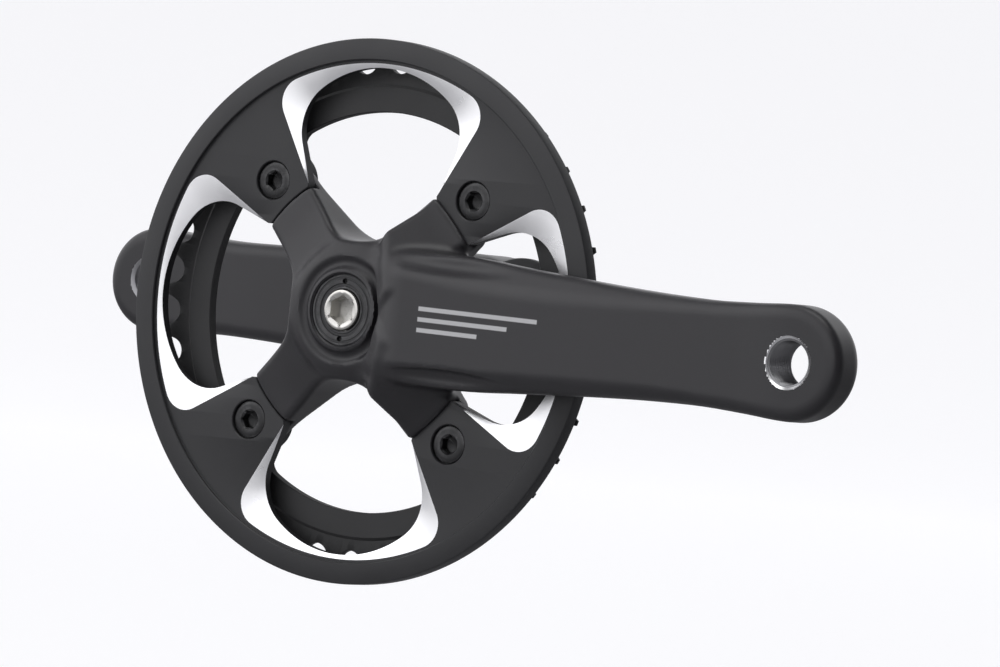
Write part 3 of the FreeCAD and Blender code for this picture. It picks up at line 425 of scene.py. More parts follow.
# %% The finishes
FINISHES = {
    "forged_arm": finish("forged_arm", (0.022, 0.021, 0.024), 0.42, grain=0.0006, bump=0.10, wear=0.10,
                         dust=0.03),
    "guard_black": finish("guard_black", (0.024, 0.024, 0.026), 0.46, grain=0.0003, bump=0.05),
    "chainring_black": finish("chainring_black", (0.024, 0.024, 0.025), 0.55, grain=0.0005, bump=0.12),
    "bolt_black": finish("bolt_black", (0.020, 0.020, 0.021), 0.30, metallic=0.4, bump=0.05, wear=0.5,
                         turning=0.00018),
    "nut_black": finish("nut_black", (0.024, 0.024, 0.024), 0.34, metallic=0.4, bump=0.05, wear=0.5,
                        turning=0.00018),
    "spindle_steel": finish("spindle_steel", (0.42, 0.42, 0.43), 0.28, metallic=1.0, bump=0.10,
                            turning=0.0002, tint=0.12),
    "sleeve_steel": finish("sleeve_steel", (0.46, 0.46, 0.45), 0.36, metallic=1.0, bump=0.12, turning=0.0004,
                           tint=0.16),
    "cup_black": finish("cup_black", (0.028, 0.028, 0.030), 0.36, bump=0.12, wear=0.55, turning=0.0002),
    "seal_rubber": finish("seal_rubber", (0.016, 0.016, 0.016), 0.72, grain=0.0003, bump=0.2, dust=0.15),
    "race_steel": finish("race_steel", (0.58, 0.58, 0.59), 0.18, metallic=1.0, bump=0.05, turning=0.00015,
                         tint=0.08),
    "ball_steel": finish("ball_steel", (0.80, 0.80, 0.81), 0.08, metallic=1.0, bump=0.01, dust=0.0,
                         tint=0.04),
    "cage_plastic": finish("cage_plastic", (0.66, 0.60, 0.47), 0.5, grain=0.0005, bump=0.1),
    "crank_bolt_steel": finish("crank_bolt_steel", (0.62, 0.61, 0.58), 0.24, metallic=1.0, bump=0.08,
                               turning=0.0002, tint=0.10),
    "washer_steel": finish("washer_steel", (0.52, 0.52, 0.51), 0.32, metallic=1.0, bump=0.08, turning=0.0003),
    # Bare machined alloy of the pedal thread and spline bore, given a dark colour: painted shade for the
    # inside of the holes.
    "cut_alloy_painted_shade": finish("cut_alloy_painted_shade", (0.30, 0.30, 0.31), 0.38, metallic=1.0, bump=0.1, dust=0.0),
    "cap_black": finish("cap_black", (0.022, 0.022, 0.024), 0.34, bump=0.22, wear=0.35, turning=0.0005),
}
print(len(FINISHES), "finishes")

# %% Bright cut metal
bright = finish("bright_cut", (0.95, 0.95, 0.96), 0.30, metallic=1.0, bump=0.10, dust=0.0, tint=0.05)
tree = bright.node_tree
track = add(tree, "ShaderNodeAttribute", attribute_name="cutter_track")
stretch = add(tree, "ShaderNodeMapping", {"Vector": track.outputs["Vector"], "Scale": (0.05, 6.0, 1.0)})
marks = add(tree, "ShaderNodeTexNoise", {"Vector": stretch.outputs[0], "Scale": 1.0, "Detail": 3.0})
for link in list(tree.links):
    if link.to_node.type == "BUMP" and link.to_socket.name == "Height":
        tree.links.new(marks.outputs["Fac"], link.to_socket)
print("tool marks follow the cutter round", bright.name)


def dress(piece, body, slot, *nodes, extra=()):
    """Gives a finished piece the material of its slot and any extra ones, sets it under its body, hides the
    frame nodes that it replaces and reports its size.
    """
    indices = np.zeros(len(piece.data.polygons), np.int32)
    piece.data.polygons.foreach_get("material_index", indices)
    piece.data.materials.clear()
    for material in (FINISHES[slot],) + tuple(extra):
        piece.data.materials.append(material)
    piece.data.polygons.foreach_set("material_index", indices)
    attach(piece, body)
    if nodes:
        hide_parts(*nodes)
    report(piece)
    return piece


# %% [markdown]
# ## Printed bars
# A crank often carries a small pad print on its outer face. Here it is a plain sign of three level bars,
# each shorter than the one above. It could be a thin raised strip, but ink has no thickness to speak of,
# so the bars are only a mask in the arm's colour: the height picks the nearest bar, and its length follows.

# %% Bar mask
BAR_START, BAR_LENGTH, BAR_STEP = 33 * MM, 34 * MM, 11 * MM
BAR_PITCH, BAR_HALF, BAR_SOFT = 3.2 * MM, 0.65 * MM, 0.12 * MM
BAR_PLANE = -70 * MM
INK = (0.56, 0.56, 0.57, 1.0)


def soft_below(tree, value, limit):
    """One where the value is below the limit, zero above it, with a soft edge."""
    over = math_node(tree, "SUBTRACT", value, limit)
    edge = add(tree, "ShaderNodeMapRange",
               {"Value": over, "From Min": -BAR_SOFT, "From Max": BAR_SOFT, "To Min": 1.0, "To Max": 0.0})
    return edge.outputs[0]


def print_bars(material):
    """Mixes the ink over the colour that already reaches the shader."""
    tree = material.node_tree
    shader = tree.nodes["Principled BSDF"]
    place = add(tree, "ShaderNodeTexCoord").outputs["Object"]
    parts = add(tree, "ShaderNodeSeparateXYZ", {"Vector": place})
    number = math_node(tree, "ROUND", math_node(tree, "DIVIDE", parts.outputs["Z"], BAR_PITCH))
    middle = math_node(tree, "MULTIPLY", number, BAR_PITCH)
    off = math_node(tree, "ABSOLUTE", math_node(tree, "SUBTRACT", parts.outputs["Z"], middle))
    mask = soft_below(tree, off, BAR_HALF)
    last = math_node(tree, "ADD", math_node(tree, "MULTIPLY", number, BAR_STEP), BAR_START + BAR_LENGTH)
    limits = [(parts.outputs["X"], last), (math_node(tree, "MULTIPLY", parts.outputs["X"], -1.0), -BAR_START),
              (math_node(tree, "ABSOLUTE", number), 1.5), (parts.outputs["Y"], BAR_PLANE)]
    for value, limit in limits:
        mask = math_node(tree, "MULTIPLY", mask, soft_below(tree, value, limit))
    base = shader.inputs["Base Color"].links[0].from_socket
    tree.links.new(mixed(tree, mask, base, INK), shader.inputs["Base Color"])


print_bars(FINISHES["forged_arm"])
print("three bars printed on the drive side arm")

# %% [markdown]
# ## Chain guard
# The guard is a flat plate of black anodised alloy, turned with a raised rim, drilled for four bolts and
# cut with four windows. After anodising, a cutter ran round each window at a slant and left a bright
# bevel, wide at the petal's corners and fading to nothing at its feet. Two outlines describe it: the
# petal is where the bevel starts on the face, and the window is where it ends at the wall. Both are
# drawn with the same number of points, so a strip of quads joins them and no triangle is wasted.

# %% Guard sizes
GUARD_FACE = GUARD_BACK + 4.0
STEP_RADIUS = 76.4
BORE_RADIUS = 42.8
PETAL_HALF_ANGLE = math.radians(31.5)
PETAL_RADIUS, PETAL_CORNER = 75.4, 7.5
WINDOW_TOP, WINDOW_TOP_RADIUS = 74.1, 37.0
WINDOW_CORNER_RADIUS, WINDOW_CORNER = 15.0, (13.9, 54.3)
WINDOW_FOOT = (23.6, 37.0)
BEVEL_DEPTH = 1.4
COUNTERBORE, COUNTERBORE_DEPTH, GUARD_HOLE = 6.0, 1.8, 5.02
WINDOW_SAMPLES = 121
TAB_SAMPLES = 24
HOLE_SAMPLES = 48


# %% Outline helpers
def arc_points(centre, radius, start, finish_angle, count=40):
    angles = np.linspace(start, finish_angle, count)
    return np.stack([centre[0] + radius * np.cos(angles), centre[1] + radius * np.sin(angles)], 1)


def evenly(points, count):
    """The same path with evenly spaced points."""
    points = np.asarray(points)
    lengths = np.concatenate([[0], np.cumsum(np.linalg.norm(np.diff(points, axis=0), axis=1))])
    wanted = np.linspace(0, lengths[-1], count)
    return np.stack([np.interp(wanted, lengths, points[:, k]) for k in range(2)], 1)


def mirrored_path(half):
    """A path from the left foot to the axis, completed to the right foot."""
    half = np.asarray(half)
    return np.concatenate([half, half[-2::-1] * (-1, 1)])


def tangent_angle(point, centre, radius, side):
    """The angle on a circle at which a line from the point touches it."""
    offset = np.subtract(point, centre)
    distance = np.hypot(*offset)
    return math.atan2(offset[1], offset[0]) + side * math.acos(radius / distance)


def window_outline():
    """Window wall, foot to foot, about a window axis that points up: straight, corner arc, wide arch."""
    centre = (-WINDOW_CORNER[0], WINDOW_CORNER[1])
    foot = (-WINDOW_FOOT[0], WINDOW_FOOT[1])
    touch = tangent_angle(foot, centre, WINDOW_CORNER_RADIUS, -1) % TURN
    arch_centre = (0.0, WINDOW_TOP - WINDOW_TOP_RADIUS)
    meet = math.atan2(centre[1] - arch_centre[1], centre[0] - arch_centre[0])
    corner = arc_points(centre, WINDOW_CORNER_RADIUS, touch, meet % TURN)
    arch_start = corner[-1]
    start_angle = math.atan2(arch_start[1] - arch_centre[1], arch_start[0])
    reach_up = math.hypot(arch_start[0], arch_start[1] - arch_centre[1])
    angles = np.linspace(start_angle, math.pi / 2, 40)
    radii = np.linspace(reach_up, WINDOW_TOP_RADIUS, 40)
    arch = np.stack([radii * np.cos(angles), arch_centre[1] + radii * np.sin(angles)], 1)
    return mirrored_path(np.concatenate([[foot], corner, arch[1:]]))


def petal_outline():
    """Outer outline of the bevel, foot to foot: radial side, rounded corner, outer arc."""
    side = np.array((-math.sin(PETAL_HALF_ANGLE), math.cos(PETAL_HALF_ANGLE)))
    inward = np.array((math.cos(PETAL_HALF_ANGLE), math.sin(PETAL_HALF_ANGLE)))
    reach_out = math.sqrt((PETAL_RADIUS - PETAL_CORNER) ** 2 - PETAL_CORNER ** 2)
    centre = side * reach_out + inward * PETAL_CORNER
    away = math.atan2(-inward[1], -inward[0])
    outward = math.atan2(centre[1], centre[0])
    corner = arc_points(centre, PETAL_CORNER, away % TURN, outward, 24)
    top = arc_points((0, 0), PETAL_RADIUS, outward, math.pi / 2, 40)
    foot = (-WINDOW_FOOT[0], WINDOW_FOOT[1])
    return mirrored_path(np.concatenate([[foot], corner, top[1:]]))


window_path = evenly(window_outline(), WINDOW_SAMPLES)
petal_path = evenly(petal_outline(), WINDOW_SAMPLES)
bevel_width = np.linalg.norm(petal_path - window_path, axis=1)
top_width = bevel_width[WINDOW_SAMPLES // 2]
print("bevel width at a corner and at the top:", round(bevel_width.max(), 1), round(top_width, 1))


# %% Inner loops of the guard
def turned_about(path, angle):
    """A path about an axis that points up, turned by an angle about the middle."""
    turn = np.array(((math.cos(angle), math.sin(angle)), (-math.sin(angle), math.cos(angle))))
    return path @ turn


def whole_loop(window, tab_radius):
    """Four windows and the four bore arcs between them, as one closed loop."""
    loop = []
    for quarter in range(4):
        turn = -quarter * math.pi / 2
        loop.append(turned_about(window, turn))
        start = math.atan2(window[-1][1], window[-1][0]) + turn
        stop = 2 * (math.pi / 4 + turn) - start
        angles = np.linspace(start, stop, TAB_SAMPLES + 2)[1:-1]
        loop.append(np.stack([tab_radius * np.cos(angles), tab_radius * np.sin(angles)], 1))
    return np.concatenate(loop)


def loop_at(path, out):
    outs = np.broadcast_to(out, len(path))
    return np.stack([path[:, 0], outs, path[:, 1]], 1)


def offset_loop(path, distance):
    """The loop moved sideways by a distance, to the left of its direction."""
    along = np.roll(path, -1, 0) - np.roll(path, 1, 0)
    along /= np.linalg.norm(along, axis=1)[:, None]
    return path + distance * np.stack([-along[:, 1], along[:, 0]], 1)


# %% Flat faces with holes
def flat_face(loops, base):
    """Triangles of a flat face between an outer loop and its holes; base is each loop's first index."""
    polygons = [[Vector((x, z, 0)) for x, z in loop] for loop in loops]
    index = np.concatenate([start + np.arange(len(loop)) for loop, start in zip(loops, base)])
    return [tuple(int(index[k]) for k in triangle) for triangle in tessellate_polygon(polygons)]


class Builder:
    """Collects points, faces and face materials of one piece."""

    def __init__(self):
        self.points, self.faces, self.slots, self.count = [], [], [], 0

    def loop(self, points):
        start = self.count
        self.points.append(np.asarray(points, float))
        self.count += len(points)
        return start

    def strip(self, first, second, length, slot=0):
        """Quads between two loops of the same length. The slot is a number or one for each quad."""
        slots = np.broadcast_to(slot, length)
        for k in range(length):
            after = (k + 1) % length
            self.faces.append((first + k, first + after, second + after, second + k))
            self.slots.append(int(slots[k]))

    def wall(self, steps):
        """Adds (path, out) loops joined one after the other, and says where each starts."""
        starts = [self.loop(loop_at(path, out)) for path, out in steps]
        for first, second in zip(starts, starts[1:]):
            self.strip(first, second, len(steps[0][0]))
        return starts

    def flat(self, loops, starts):
        made = flat_face(loops, starts)
        self.faces += made
        self.slots += [0] * len(made)

    def mesh(self, name):
        made = object_from(name, on_side(np.concatenate(self.points), "drive"), self.faces, self.slots)
        normals_outwards(made)
        return made


def normals_outwards(piece):
    """Turns every face of a closed mesh the same way, outwards."""
    tidy = bmesh.new()
    tidy.from_mesh(piece.data)
    bmesh.ops.recalc_face_normals(tidy, faces=tidy.faces)
    tidy.to_mesh(piece.data)
    tidy.free()
    piece.data.set_sharp_from_angle(angle=math.radians(SHARP_DEGREES))


def circle_path(radius, centre=(0.0, 0.0), samples=HOLE_SAMPLES):
    return arc_points(centre, radius, 0, TURN * (1 - 1 / samples), samples)


# %% Build the guard
guard = Builder()
EDGE = 0.3
petal_loop = whole_loop(petal_path, BORE_RADIUS + EDGE)
window_loop = whole_loop(window_path, BORE_RADIUS)
drop = BEVEL_DEPTH * np.sqrt(bevel_width / bevel_width.max())
drop_loop = np.concatenate([np.concatenate([drop, np.full(TAB_SAMPLES, EDGE)]) for quarter in range(4)])
is_window = np.concatenate([np.concatenate([np.ones(WINDOW_SAMPLES - 1), np.zeros(TAB_SAMPLES + 1)])
                            for quarter in range(4)])
inner = len(window_loop)
face_loop = guard.loop(loop_at(petal_loop, GUARD_FACE))
bevel_end = guard.loop(loop_at(window_loop, GUARD_FACE - drop_loop))
wall_end = guard.loop(loop_at(window_loop, GUARD_BACK + EDGE))
back_path = offset_loop(window_loop, EDGE)
back_loop = guard.loop(loop_at(back_path, GUARD_BACK))
guard.strip(face_loop, bevel_end, inner, is_window)
guard.strip(bevel_end, wall_end, inner)
guard.strip(wall_end, back_loop, inner)
rim_samples = 288
rim_steps = [(circle_path(radius, samples=rim_samples), out) for radius, out in (
    (STEP_RADIUS - 0.15, GUARD_FACE), (STEP_RADIUS, GUARD_FACE + 0.15), (STEP_RADIUS, GUARD_RIM_FACE - 0.25),
    (STEP_RADIUS + 0.25, GUARD_RIM_FACE), (GUARD_RADIUS - 0.6, GUARD_RIM_FACE),
    (GUARD_RADIUS - 0.18, GUARD_RIM_FACE - 0.18), (GUARD_RADIUS, GUARD_RIM_FACE - 0.6),
    (GUARD_RADIUS, GUARD_BACK + 0.4), (GUARD_RADIUS - 0.4, GUARD_BACK))]
rim_starts = guard.wall(rim_steps)
front_holes, back_holes = [], []
for centre in BOLT_CENTRES:
    hole_steps = [(circle_path(radius, centre), out) for radius, out in (
        (COUNTERBORE + 0.25, GUARD_FACE), (COUNTERBORE, GUARD_FACE - 0.25),
        (COUNTERBORE, GUARD_FACE - COUNTERBORE_DEPTH), (GUARD_HOLE, GUARD_FACE - COUNTERBORE_DEPTH),
        (GUARD_HOLE, GUARD_BACK))]
    starts = guard.wall(hole_steps)
    front_holes.append((hole_steps[0][0], starts[0]))
    back_holes.append((hole_steps[-1][0], starts[-1]))
guard.flat([rim_steps[0][0], petal_loop] + [hole for hole, base in front_holes],
           [rim_starts[0], face_loop] + [base for hole, base in front_holes])
guard.flat([rim_steps[-1][0], back_path] + [hole for hole, base in back_holes],
           [rim_starts[-1], back_loop] + [base for hole, base in back_holes])
chain_guard = guard.mesh("guard_plate")


def cutter_track(piece, centre_radius):
    """Stores on each point how far it is round and across the cut, for the tool marks."""
    points = np.zeros(len(piece.data.vertices) * 3)
    piece.data.vertices.foreach_get("co", points)
    x, y, z = points.reshape(-1, 3).T / MM
    turn = np.round(np.arctan2(z, x) / (math.pi / 2)) * math.pi / 2
    along = x * np.cos(turn) + z * np.sin(turn) - centre_radius
    across = -x * np.sin(turn) + z * np.cos(turn)
    track = np.stack([np.degrees(np.arctan2(across, along)), np.hypot(along, across), y], 1)
    attribute = piece.data.attributes.new("cutter_track", "FLOAT_VECTOR", "POINT")
    attribute.data.foreach_set("vector", track.astype(np.float32).ravel())


CUTTER_CENTRE = 52.0
cutter_track(chain_guard, CUTTER_CENTRE)
dress(chain_guard, "crank", "guard_black", "chain_guard", extra=(bright,))

# %% [markdown]
# ## Repeats by Geometry Nodes
# Thirty-eight teeth, eleven balls and four bolts all follow one rule: copy a thing a number of times
# round the spindle axis. One Geometry Nodes tree does it for all of them. It places a point for each
# copy, turns an instance about Y, makes the instances real, merges the seams and sets the material.

# %% The round repeat tree
def round_repeat_tree():
    tree = bpy.data.node_groups.new("repeat_round", "GeometryNodeTree")
    make = tree.interface.new_socket
    make("Geometry", in_out="INPUT", socket_type="NodeSocketGeometry")
    make("Count", in_out="INPUT", socket_type="NodeSocketInt").default_value = 4
    make("Merge Distance", in_out="INPUT", socket_type="NodeSocketFloat").default_value = 1e-6
    make("Finish", in_out="INPUT", socket_type="NodeSocketMaterial")
    make("Geometry", in_out="OUTPUT", socket_type="NodeSocketGeometry")
    source = tree.nodes.new("NodeGroupInput")
    result = tree.nodes.new("NodeGroupOutput")
    line = add(tree, "GeometryNodeMeshLine", {"Count": source.outputs["Count"], "Offset": (0.0, 0.0, 0.0)})
    index = add(tree, "GeometryNodeInputIndex")
    share = add(tree, "ShaderNodeMath", {0: TURN, 1: source.outputs["Count"]}, operation="DIVIDE")
    angle = add(tree, "ShaderNodeMath", {0: index.outputs[0], 1: share.outputs[0]}, operation="MULTIPLY")
    turn = add(tree, "ShaderNodeCombineXYZ", {"Y": angle.outputs[0]})
    copies = add(tree, "GeometryNodeInstanceOnPoints",
                 {"Points": line.outputs[0], "Instance": source.outputs["Geometry"],
                  "Rotation": turn.outputs[0]})
    real = add(tree, "GeometryNodeRealizeInstances", {"Geometry": copies.outputs[0]})
    merged = add(tree, "GeometryNodeMergeByDistance",
                 {"Geometry": real.outputs[0], "Distance": source.outputs["Merge Distance"]})
    finished = add(tree, "GeometryNodeSetMaterial",
                   {"Geometry": merged.outputs[0], "Material": source.outputs["Finish"]})
    tree.links.new(finished.outputs[0], result.inputs[0])
    return tree


ROUND_TREE = round_repeat_tree()


def repeated_round(piece, name, count, slot, merge=1e-6):
    """The piece copied round the spindle axis, as a plain mesh under a new name."""
    modifier = piece.modifiers.new("repeat", "NODES")
    modifier.node_group = ROUND_TREE
    sockets = {item.name: item.identifier for item in ROUND_TREE.interface.items_tree
               if item.in_out == "INPUT"}
    modifier[sockets["Count"]] = count
    modifier[sockets["Merge Distance"]] = merge
    modifier[sockets["Finish"]] = FINISHES[slot]
    bpy.context.view_layer.update()
    graph = bpy.context.evaluated_depsgraph_get()
    mesh = bpy.data.meshes.new_from_object(piece.evaluated_get(graph))
    piece.modifiers.remove(modifier)
    bpy.data.objects.remove(piece)
    made = bpy.data.objects.new(name, mesh)
    mesh.name = name
    bpy.context.scene.collection.objects.link(made)
    mesh.set_sharp_from_angle(angle=math.radians(SHARP_DEGREES))
    print(name, "holds", count, "copies")
    return made


def combined(piece, tool, operation):
    """Joins or cuts two closed meshes, and removes the tool."""
    modifier = piece.modifiers.new(operation.lower(), "BOOLEAN")
    modifier.operation = operation
    modifier.object = tool
    modifier.solver = "MANIFOLD"
    bpy.context.view_layer.update()
    graph = bpy.context.evaluated_depsgraph_get()
    mesh = bpy.data.meshes.new_from_object(piece.evaluated_get(graph))
    piece.modifiers.remove(modifier)
    old = piece.data
    piece.data = mesh
    mesh.name = piece.name
    bpy.data.meshes.remove(old)
    bpy.data.objects.remove(tool)
    shade(mesh)
    return piece


# %% [markdown]
# ## Chainring
# The ring is stamped from plate, its teeth are milled, and each tooth is thinned towards its tip so that
# the chain finds it. A single tooth with half a gap on each side is the repeating cell. It is drawn from
# the roller's seat, a flank that bends inwards and a short tip; the copies meet in the middle of the gaps.

# %% One tooth
TEETH = 38
PITCH_RADIUS = 12.7 / 2 / math.sin(math.pi / TEETH)
ROLLER_SEAT = 4.0
SEAT_SWEEP = math.radians(62)
TIP_HALF = 0.8
TOOTH_HALF_THICKNESS = 1.1
TOOTH_MIDDLE = (RING_BACK + RING_FACE) / 2
BAND_INNER = 67.0
FLANK_BEND = 2.6
TOOTH_EDGE, TIP_THINNING, THINNED_FROM = 0.15, 0.55, 74.5
SHOULDER_RADIUS_FROM, SHOULDER_SLOPE, SHOULDER_GAP = 74.8, 0.12, 0.25


def tooth_outline():
    """Half gap, flank, tip, flank, half gap, as (lateral, radial) points of one pitch."""
    gap_x, gap_r = -PITCH_RADIUS * math.sin(math.pi / TEETH), PITCH_RADIUS * math.cos(math.pi / TEETH)
    to_axis = math.atan2(-gap_r, -gap_x)
    seat = arc_points((gap_x, gap_r), ROLLER_SEAT, to_axis, to_axis + SEAT_SWEEP, 9)
    leaving = np.array((-math.sin(to_axis + SEAT_SWEEP), math.cos(to_axis + SEAT_SWEEP)))
    tip = np.array((-TIP_HALF, TOOTH_TIP_RADIUS))
    bend = seat[-1] + leaving * FLANK_BEND
    share = np.linspace(0, 1, 9)[1:, None]
    flank = seat[-1] * (1 - share) ** 2 + 2 * bend * share * (1 - share) + tip * share ** 2
    half = np.concatenate([seat, flank, [(0.0, TOOTH_TIP_RADIUS)]])
    return mirrored_path(half)


def tooth_sector():
    """A closed-sided slice of the toothed plate, open where its neighbours join it."""
    outline = tooth_outline()
    lateral, radial = outline.T
    angles = np.arctan2(lateral, radial)
    radii = np.hypot(lateral, radial)
    thin = np.clip((radii - THINNED_FROM) / (TOOTH_TIP_RADIUS - THINNED_FROM), 0, 1)
    edge_half = TOOTH_HALF_THICKNESS - TOOTH_EDGE - TIP_THINNING * thin
    shoulder = np.minimum(radii - SHOULDER_GAP,
                          SHOULDER_RADIUS_FROM + SHOULDER_SLOPE * (radii - SHOULDER_RADIUS_FROM))
    spread = math.pi / TEETH * np.linspace(-1, 1, len(radii))
    rows = []
    for sign in (1, -1):
        rows.append([(BAND_INNER, spread[k], sign * TOOTH_HALF_THICKNESS) for k in range(len(radii))])
        rows.append([(shoulder[k], angles[k], sign * TOOTH_HALF_THICKNESS) for k in range(len(radii))])
        rows.append([(radii[k], angles[k], sign * edge_half[k]) for k in range(len(radii))])
    rows = [rows[0], rows[1], rows[2], rows[5], rows[4], rows[3]]
    points = [(r * math.cos(a), TOOTH_MIDDLE + out, r * math.sin(a)) for row in rows for r, a, out in row]
    count = len(radii)
    faces = []
    for row in range(6):
        near, far = row * count, ((row + 1) % 6) * count
        faces += [(near + k, near + k + 1, far + k + 1, far + k) for k in range(count - 1)]
    return object_from("tooth", on_side(points, "drive"), faces)


tooth_plate = repeated_round(tooth_sector(), "tooth_plate", TEETH, "chainring_black", merge=0.004 * MM)
normals_outwards(tooth_plate)
report(tooth_plate)

# %% Ring body with its four tabs
RING_INNER, RING_BODY = 61.0, 69.5
RING_TAB_HALF, TAB_FILLET = 9.2, 5.0


def ring_inner_path():
    """Inner edge of the ring about its four bolt tabs, as one closed loop."""
    fillet_across = RING_TAB_HALF + TAB_FILLET
    fillet_along = math.sqrt((RING_INNER - TAB_FILLET) ** 2 - fillet_across ** 2)
    swing = math.atan2(fillet_across, fillet_along)
    quarter = math.pi / 4
    edge = arc_points((0, 0), RING_INNER, quarter, swing, 22)
    fillet = arc_points((fillet_along, fillet_across), TAB_FILLET, swing, -math.pi / 2, 12)
    end_round = arc_points((BOLT_CIRCLE, 0), RING_TAB_HALF, math.pi / 2, math.pi, 16)
    half = np.concatenate([edge[1:], fillet[1:], end_round])
    full = np.concatenate([half, half[-2::-1] * (1, -1)])
    return np.concatenate([turned_about(full, math.pi / 4 - k * math.pi / 2) for k in range(4)])


body = Builder()
ring_inner = ring_inner_path()
body_samples = 240
outer_steps = [(circle_path(radius, samples=body_samples), out) for radius, out in (
    (RING_BODY - 0.9, RING_FACE), (RING_BODY, RING_FACE - 0.6), (RING_BODY, RING_BACK + 0.6),
    (RING_BODY - 0.9, RING_BACK))]
outer_starts = body.wall(outer_steps)
inner_edge = offset_loop(ring_inner, 0.25)
inner_starts = body.wall([(inner_edge, RING_FACE), (ring_inner, RING_FACE - 0.25),
                          (ring_inner, RING_BACK + 0.25), (inner_edge, RING_BACK)])
holes = [circle_path(GUARD_HOLE, centre) for centre in BOLT_CENTRES]
hole_starts = [body.wall([(hole, RING_FACE), (hole, RING_BACK)]) for hole in holes]
for end in (0, -1):
    body.flat([outer_steps[end][0], inner_edge] + holes,
              [outer_starts[end], inner_starts[end]] + [starts[end] for starts in hole_starts])
ring_body = body.mesh("toothed_ring")
report(ring_body)
chainring = combined(ring_body, tooth_plate, "UNION")
dress(chainring, "crank", "chainring_black", "chainring")

# %% [markdown]
# ## Chainring bolts and nuts
# A chainring bolt is a short fat screw with a low head and a hexagon socket; its nut is a sleeve that
# passes through ring, spider and guard from behind. One of each is turned on the lathe at the first bolt
# place, with the socket as a ring of points whose radius is a hexagon, and copied round four times.

# %% One bolt and one nut
BOLT_HEAD_SEAT = GUARD_FACE - COUNTERBORE_DEPTH
BOLT_HEAD_FACE = BOLT_HEAD_SEAT + 1.3
BOLT_SHANK, BOLT_HEAD = 3.95, 5.7
NUT_BACK, NUT_SLEEVE, NUT_BORE, NUT_FLANGE = RING_BACK - 0.2, 5.0, 4.0, 6.3


def socket_steps(face, floor, width):
    """Mouth chamfer, hexagon walls and a drilled cone at the bottom of a key socket."""
    return [(face, width / 2 * 1.27), (face - 0.45, rounded_hexagon(width, 1.0)),
            (floor, rounded_hexagon(width, 1.0)), (floor, rounded_hexagon(width * 0.96, 0.6)),
            (floor - 0.05, width * 0.42), (floor - 0.8, 0.0)]


bolt_profile = ([(RING_BACK + 1.2, 0.0), (RING_BACK + 1.2, 3.4), (RING_BACK + 1.7, BOLT_SHANK),
                 (BOLT_HEAD_SEAT, BOLT_SHANK), (BOLT_HEAD_SEAT, 5.5), (BOLT_HEAD_SEAT + 0.2, BOLT_HEAD),
                 (BOLT_HEAD_FACE - 0.75, BOLT_HEAD), (BOLT_HEAD_FACE - 0.3, 5.5),
                 (BOLT_HEAD_FACE - 0.08, 5.0), (BOLT_HEAD_FACE, 4.4)]
                + socket_steps(BOLT_HEAD_FACE, BOLT_HEAD_FACE - 3.0, 5.0))
one_bolt = turned("one_bolt", bolt_profile, samples=HOLE_SAMPLES, centre=BOLT_CENTRES[0])
bolts = repeated_round(one_bolt, "guard_bolts", 4, "bolt_black", merge=0.0)
dress(bolts, "crank", "bolt_black", "chainring_bolts")
nut_profile = eased([(NUT_BACK, NUT_BORE), (NUT_BACK, NUT_FLANGE), (RING_BACK + 1.0, NUT_FLANGE),
                     (RING_BACK + 1.0, NUT_SLEEVE), (GUARD_BACK + 1.2, NUT_SLEEVE),
                     (GUARD_BACK + 1.2, NUT_BORE)], 0.15)
one_nut = turned("one_nut", nut_profile, samples=HOLE_SAMPLES, centre=BOLT_CENTRES[0])
nuts = repeated_round(one_nut, "sleeve_nuts", 4, "nut_black", merge=0.0)
dress(nuts, "crank", "nut_black", "chainring_nuts")

# %% [markdown]
# ## The forged arms
# A crank arm is pressed from hot alloy between two dies, so it has no sharp inside corner anywhere: hub,
# arm and spider flow into each other. Box modelling would need many careful edge loops for that. Instead
# the arm is described by distance: each function below says how far a point is from the surface of one
# simple solid, and a smooth minimum melts the solids together like the forging die does. A net of quads
# is then stretched over the place where the distance is zero, and each point is slid exactly onto it.

# %% Distance helpers
def smooth_max(first, second, blend):
    overlap = np.maximum(blend - np.abs(first - second), 0) / blend
    return np.maximum(first, second) + overlap * overlap * blend / 4


def smooth_min(first, second, blend):
    return -smooth_max(-first, -second, blend)


def through(*pairs):
    """A smooth curve through (x, value) pairs, level beyond its ends."""
    xs, ys = np.array(pairs, float).T
    slopes = np.gradient(ys, xs)
    slopes[0] = slopes[-1] = 0.0

    def curve(x):
        x = np.clip(x, xs[0], xs[-1])
        k = np.clip(np.searchsorted(xs, x) - 1, 0, len(xs) - 2)
        width = xs[k + 1] - xs[k]
        t = (x - xs[k]) / width
        start_part = (1 + 2 * t) * (1 - t) ** 2 * ys[k] + t * (1 - t) ** 2 * width * slopes[k]
        end_part = t * t * (3 - 2 * t) * ys[k + 1] + t * t * (t - 1) * width * slopes[k + 1]
        return start_part + end_part
    return curve


def line_distance(radius, out, first, second):
    """How far a point lies outboard of the line through two (radius, out) points."""
    run, rise = second[0] - first[0], second[1] - first[1]
    return ((out - first[1]) * run - (radius - first[0]) * rise) / math.hypot(run, rise)


# %% Section of the arm along its length
half_height = through((0, 12), (11, 15.5), (21, 19.4), (36, 20.1), (51, 19.9), (66, 18.9), (80, 18.0),
                      (96, 17.0), (123, 15.8), (140, 15.6), (155, 16.2), (ARM_LENGTH, EYE_RADIUS))
upper_edge = through((11, 12.5), (21, 13.4), (51, 11.8), (80, 11.2), (122, 12.4), (151, 13.7),
                     (ARM_LENGTH, 15.2))
lower_edge = through((11, 12.5), (21, 14.4), (51, 14.9), (80, 13.8), (122, 13.0), (151, 14.0),
                     (ARM_LENGTH, 15.2))
bevel_drop = through((11, 5.0), (40, 4.4), (80, 3.4), (122, 2.2), (151, 1.4), (ARM_LENGTH, 1.1))
outer_face = through((0, 69.4), (21, 71.3), (96, 78.2), (150, 83.2), (ARM_LENGTH, EYE_FACE))
back_face = through((0, 41), (11, 42), (21, 45.5), (36, 51.5), (62, 60.2), (92, 63.6), (122, 66.2),
                    (ARM_LENGTH, 71), (190, 71))
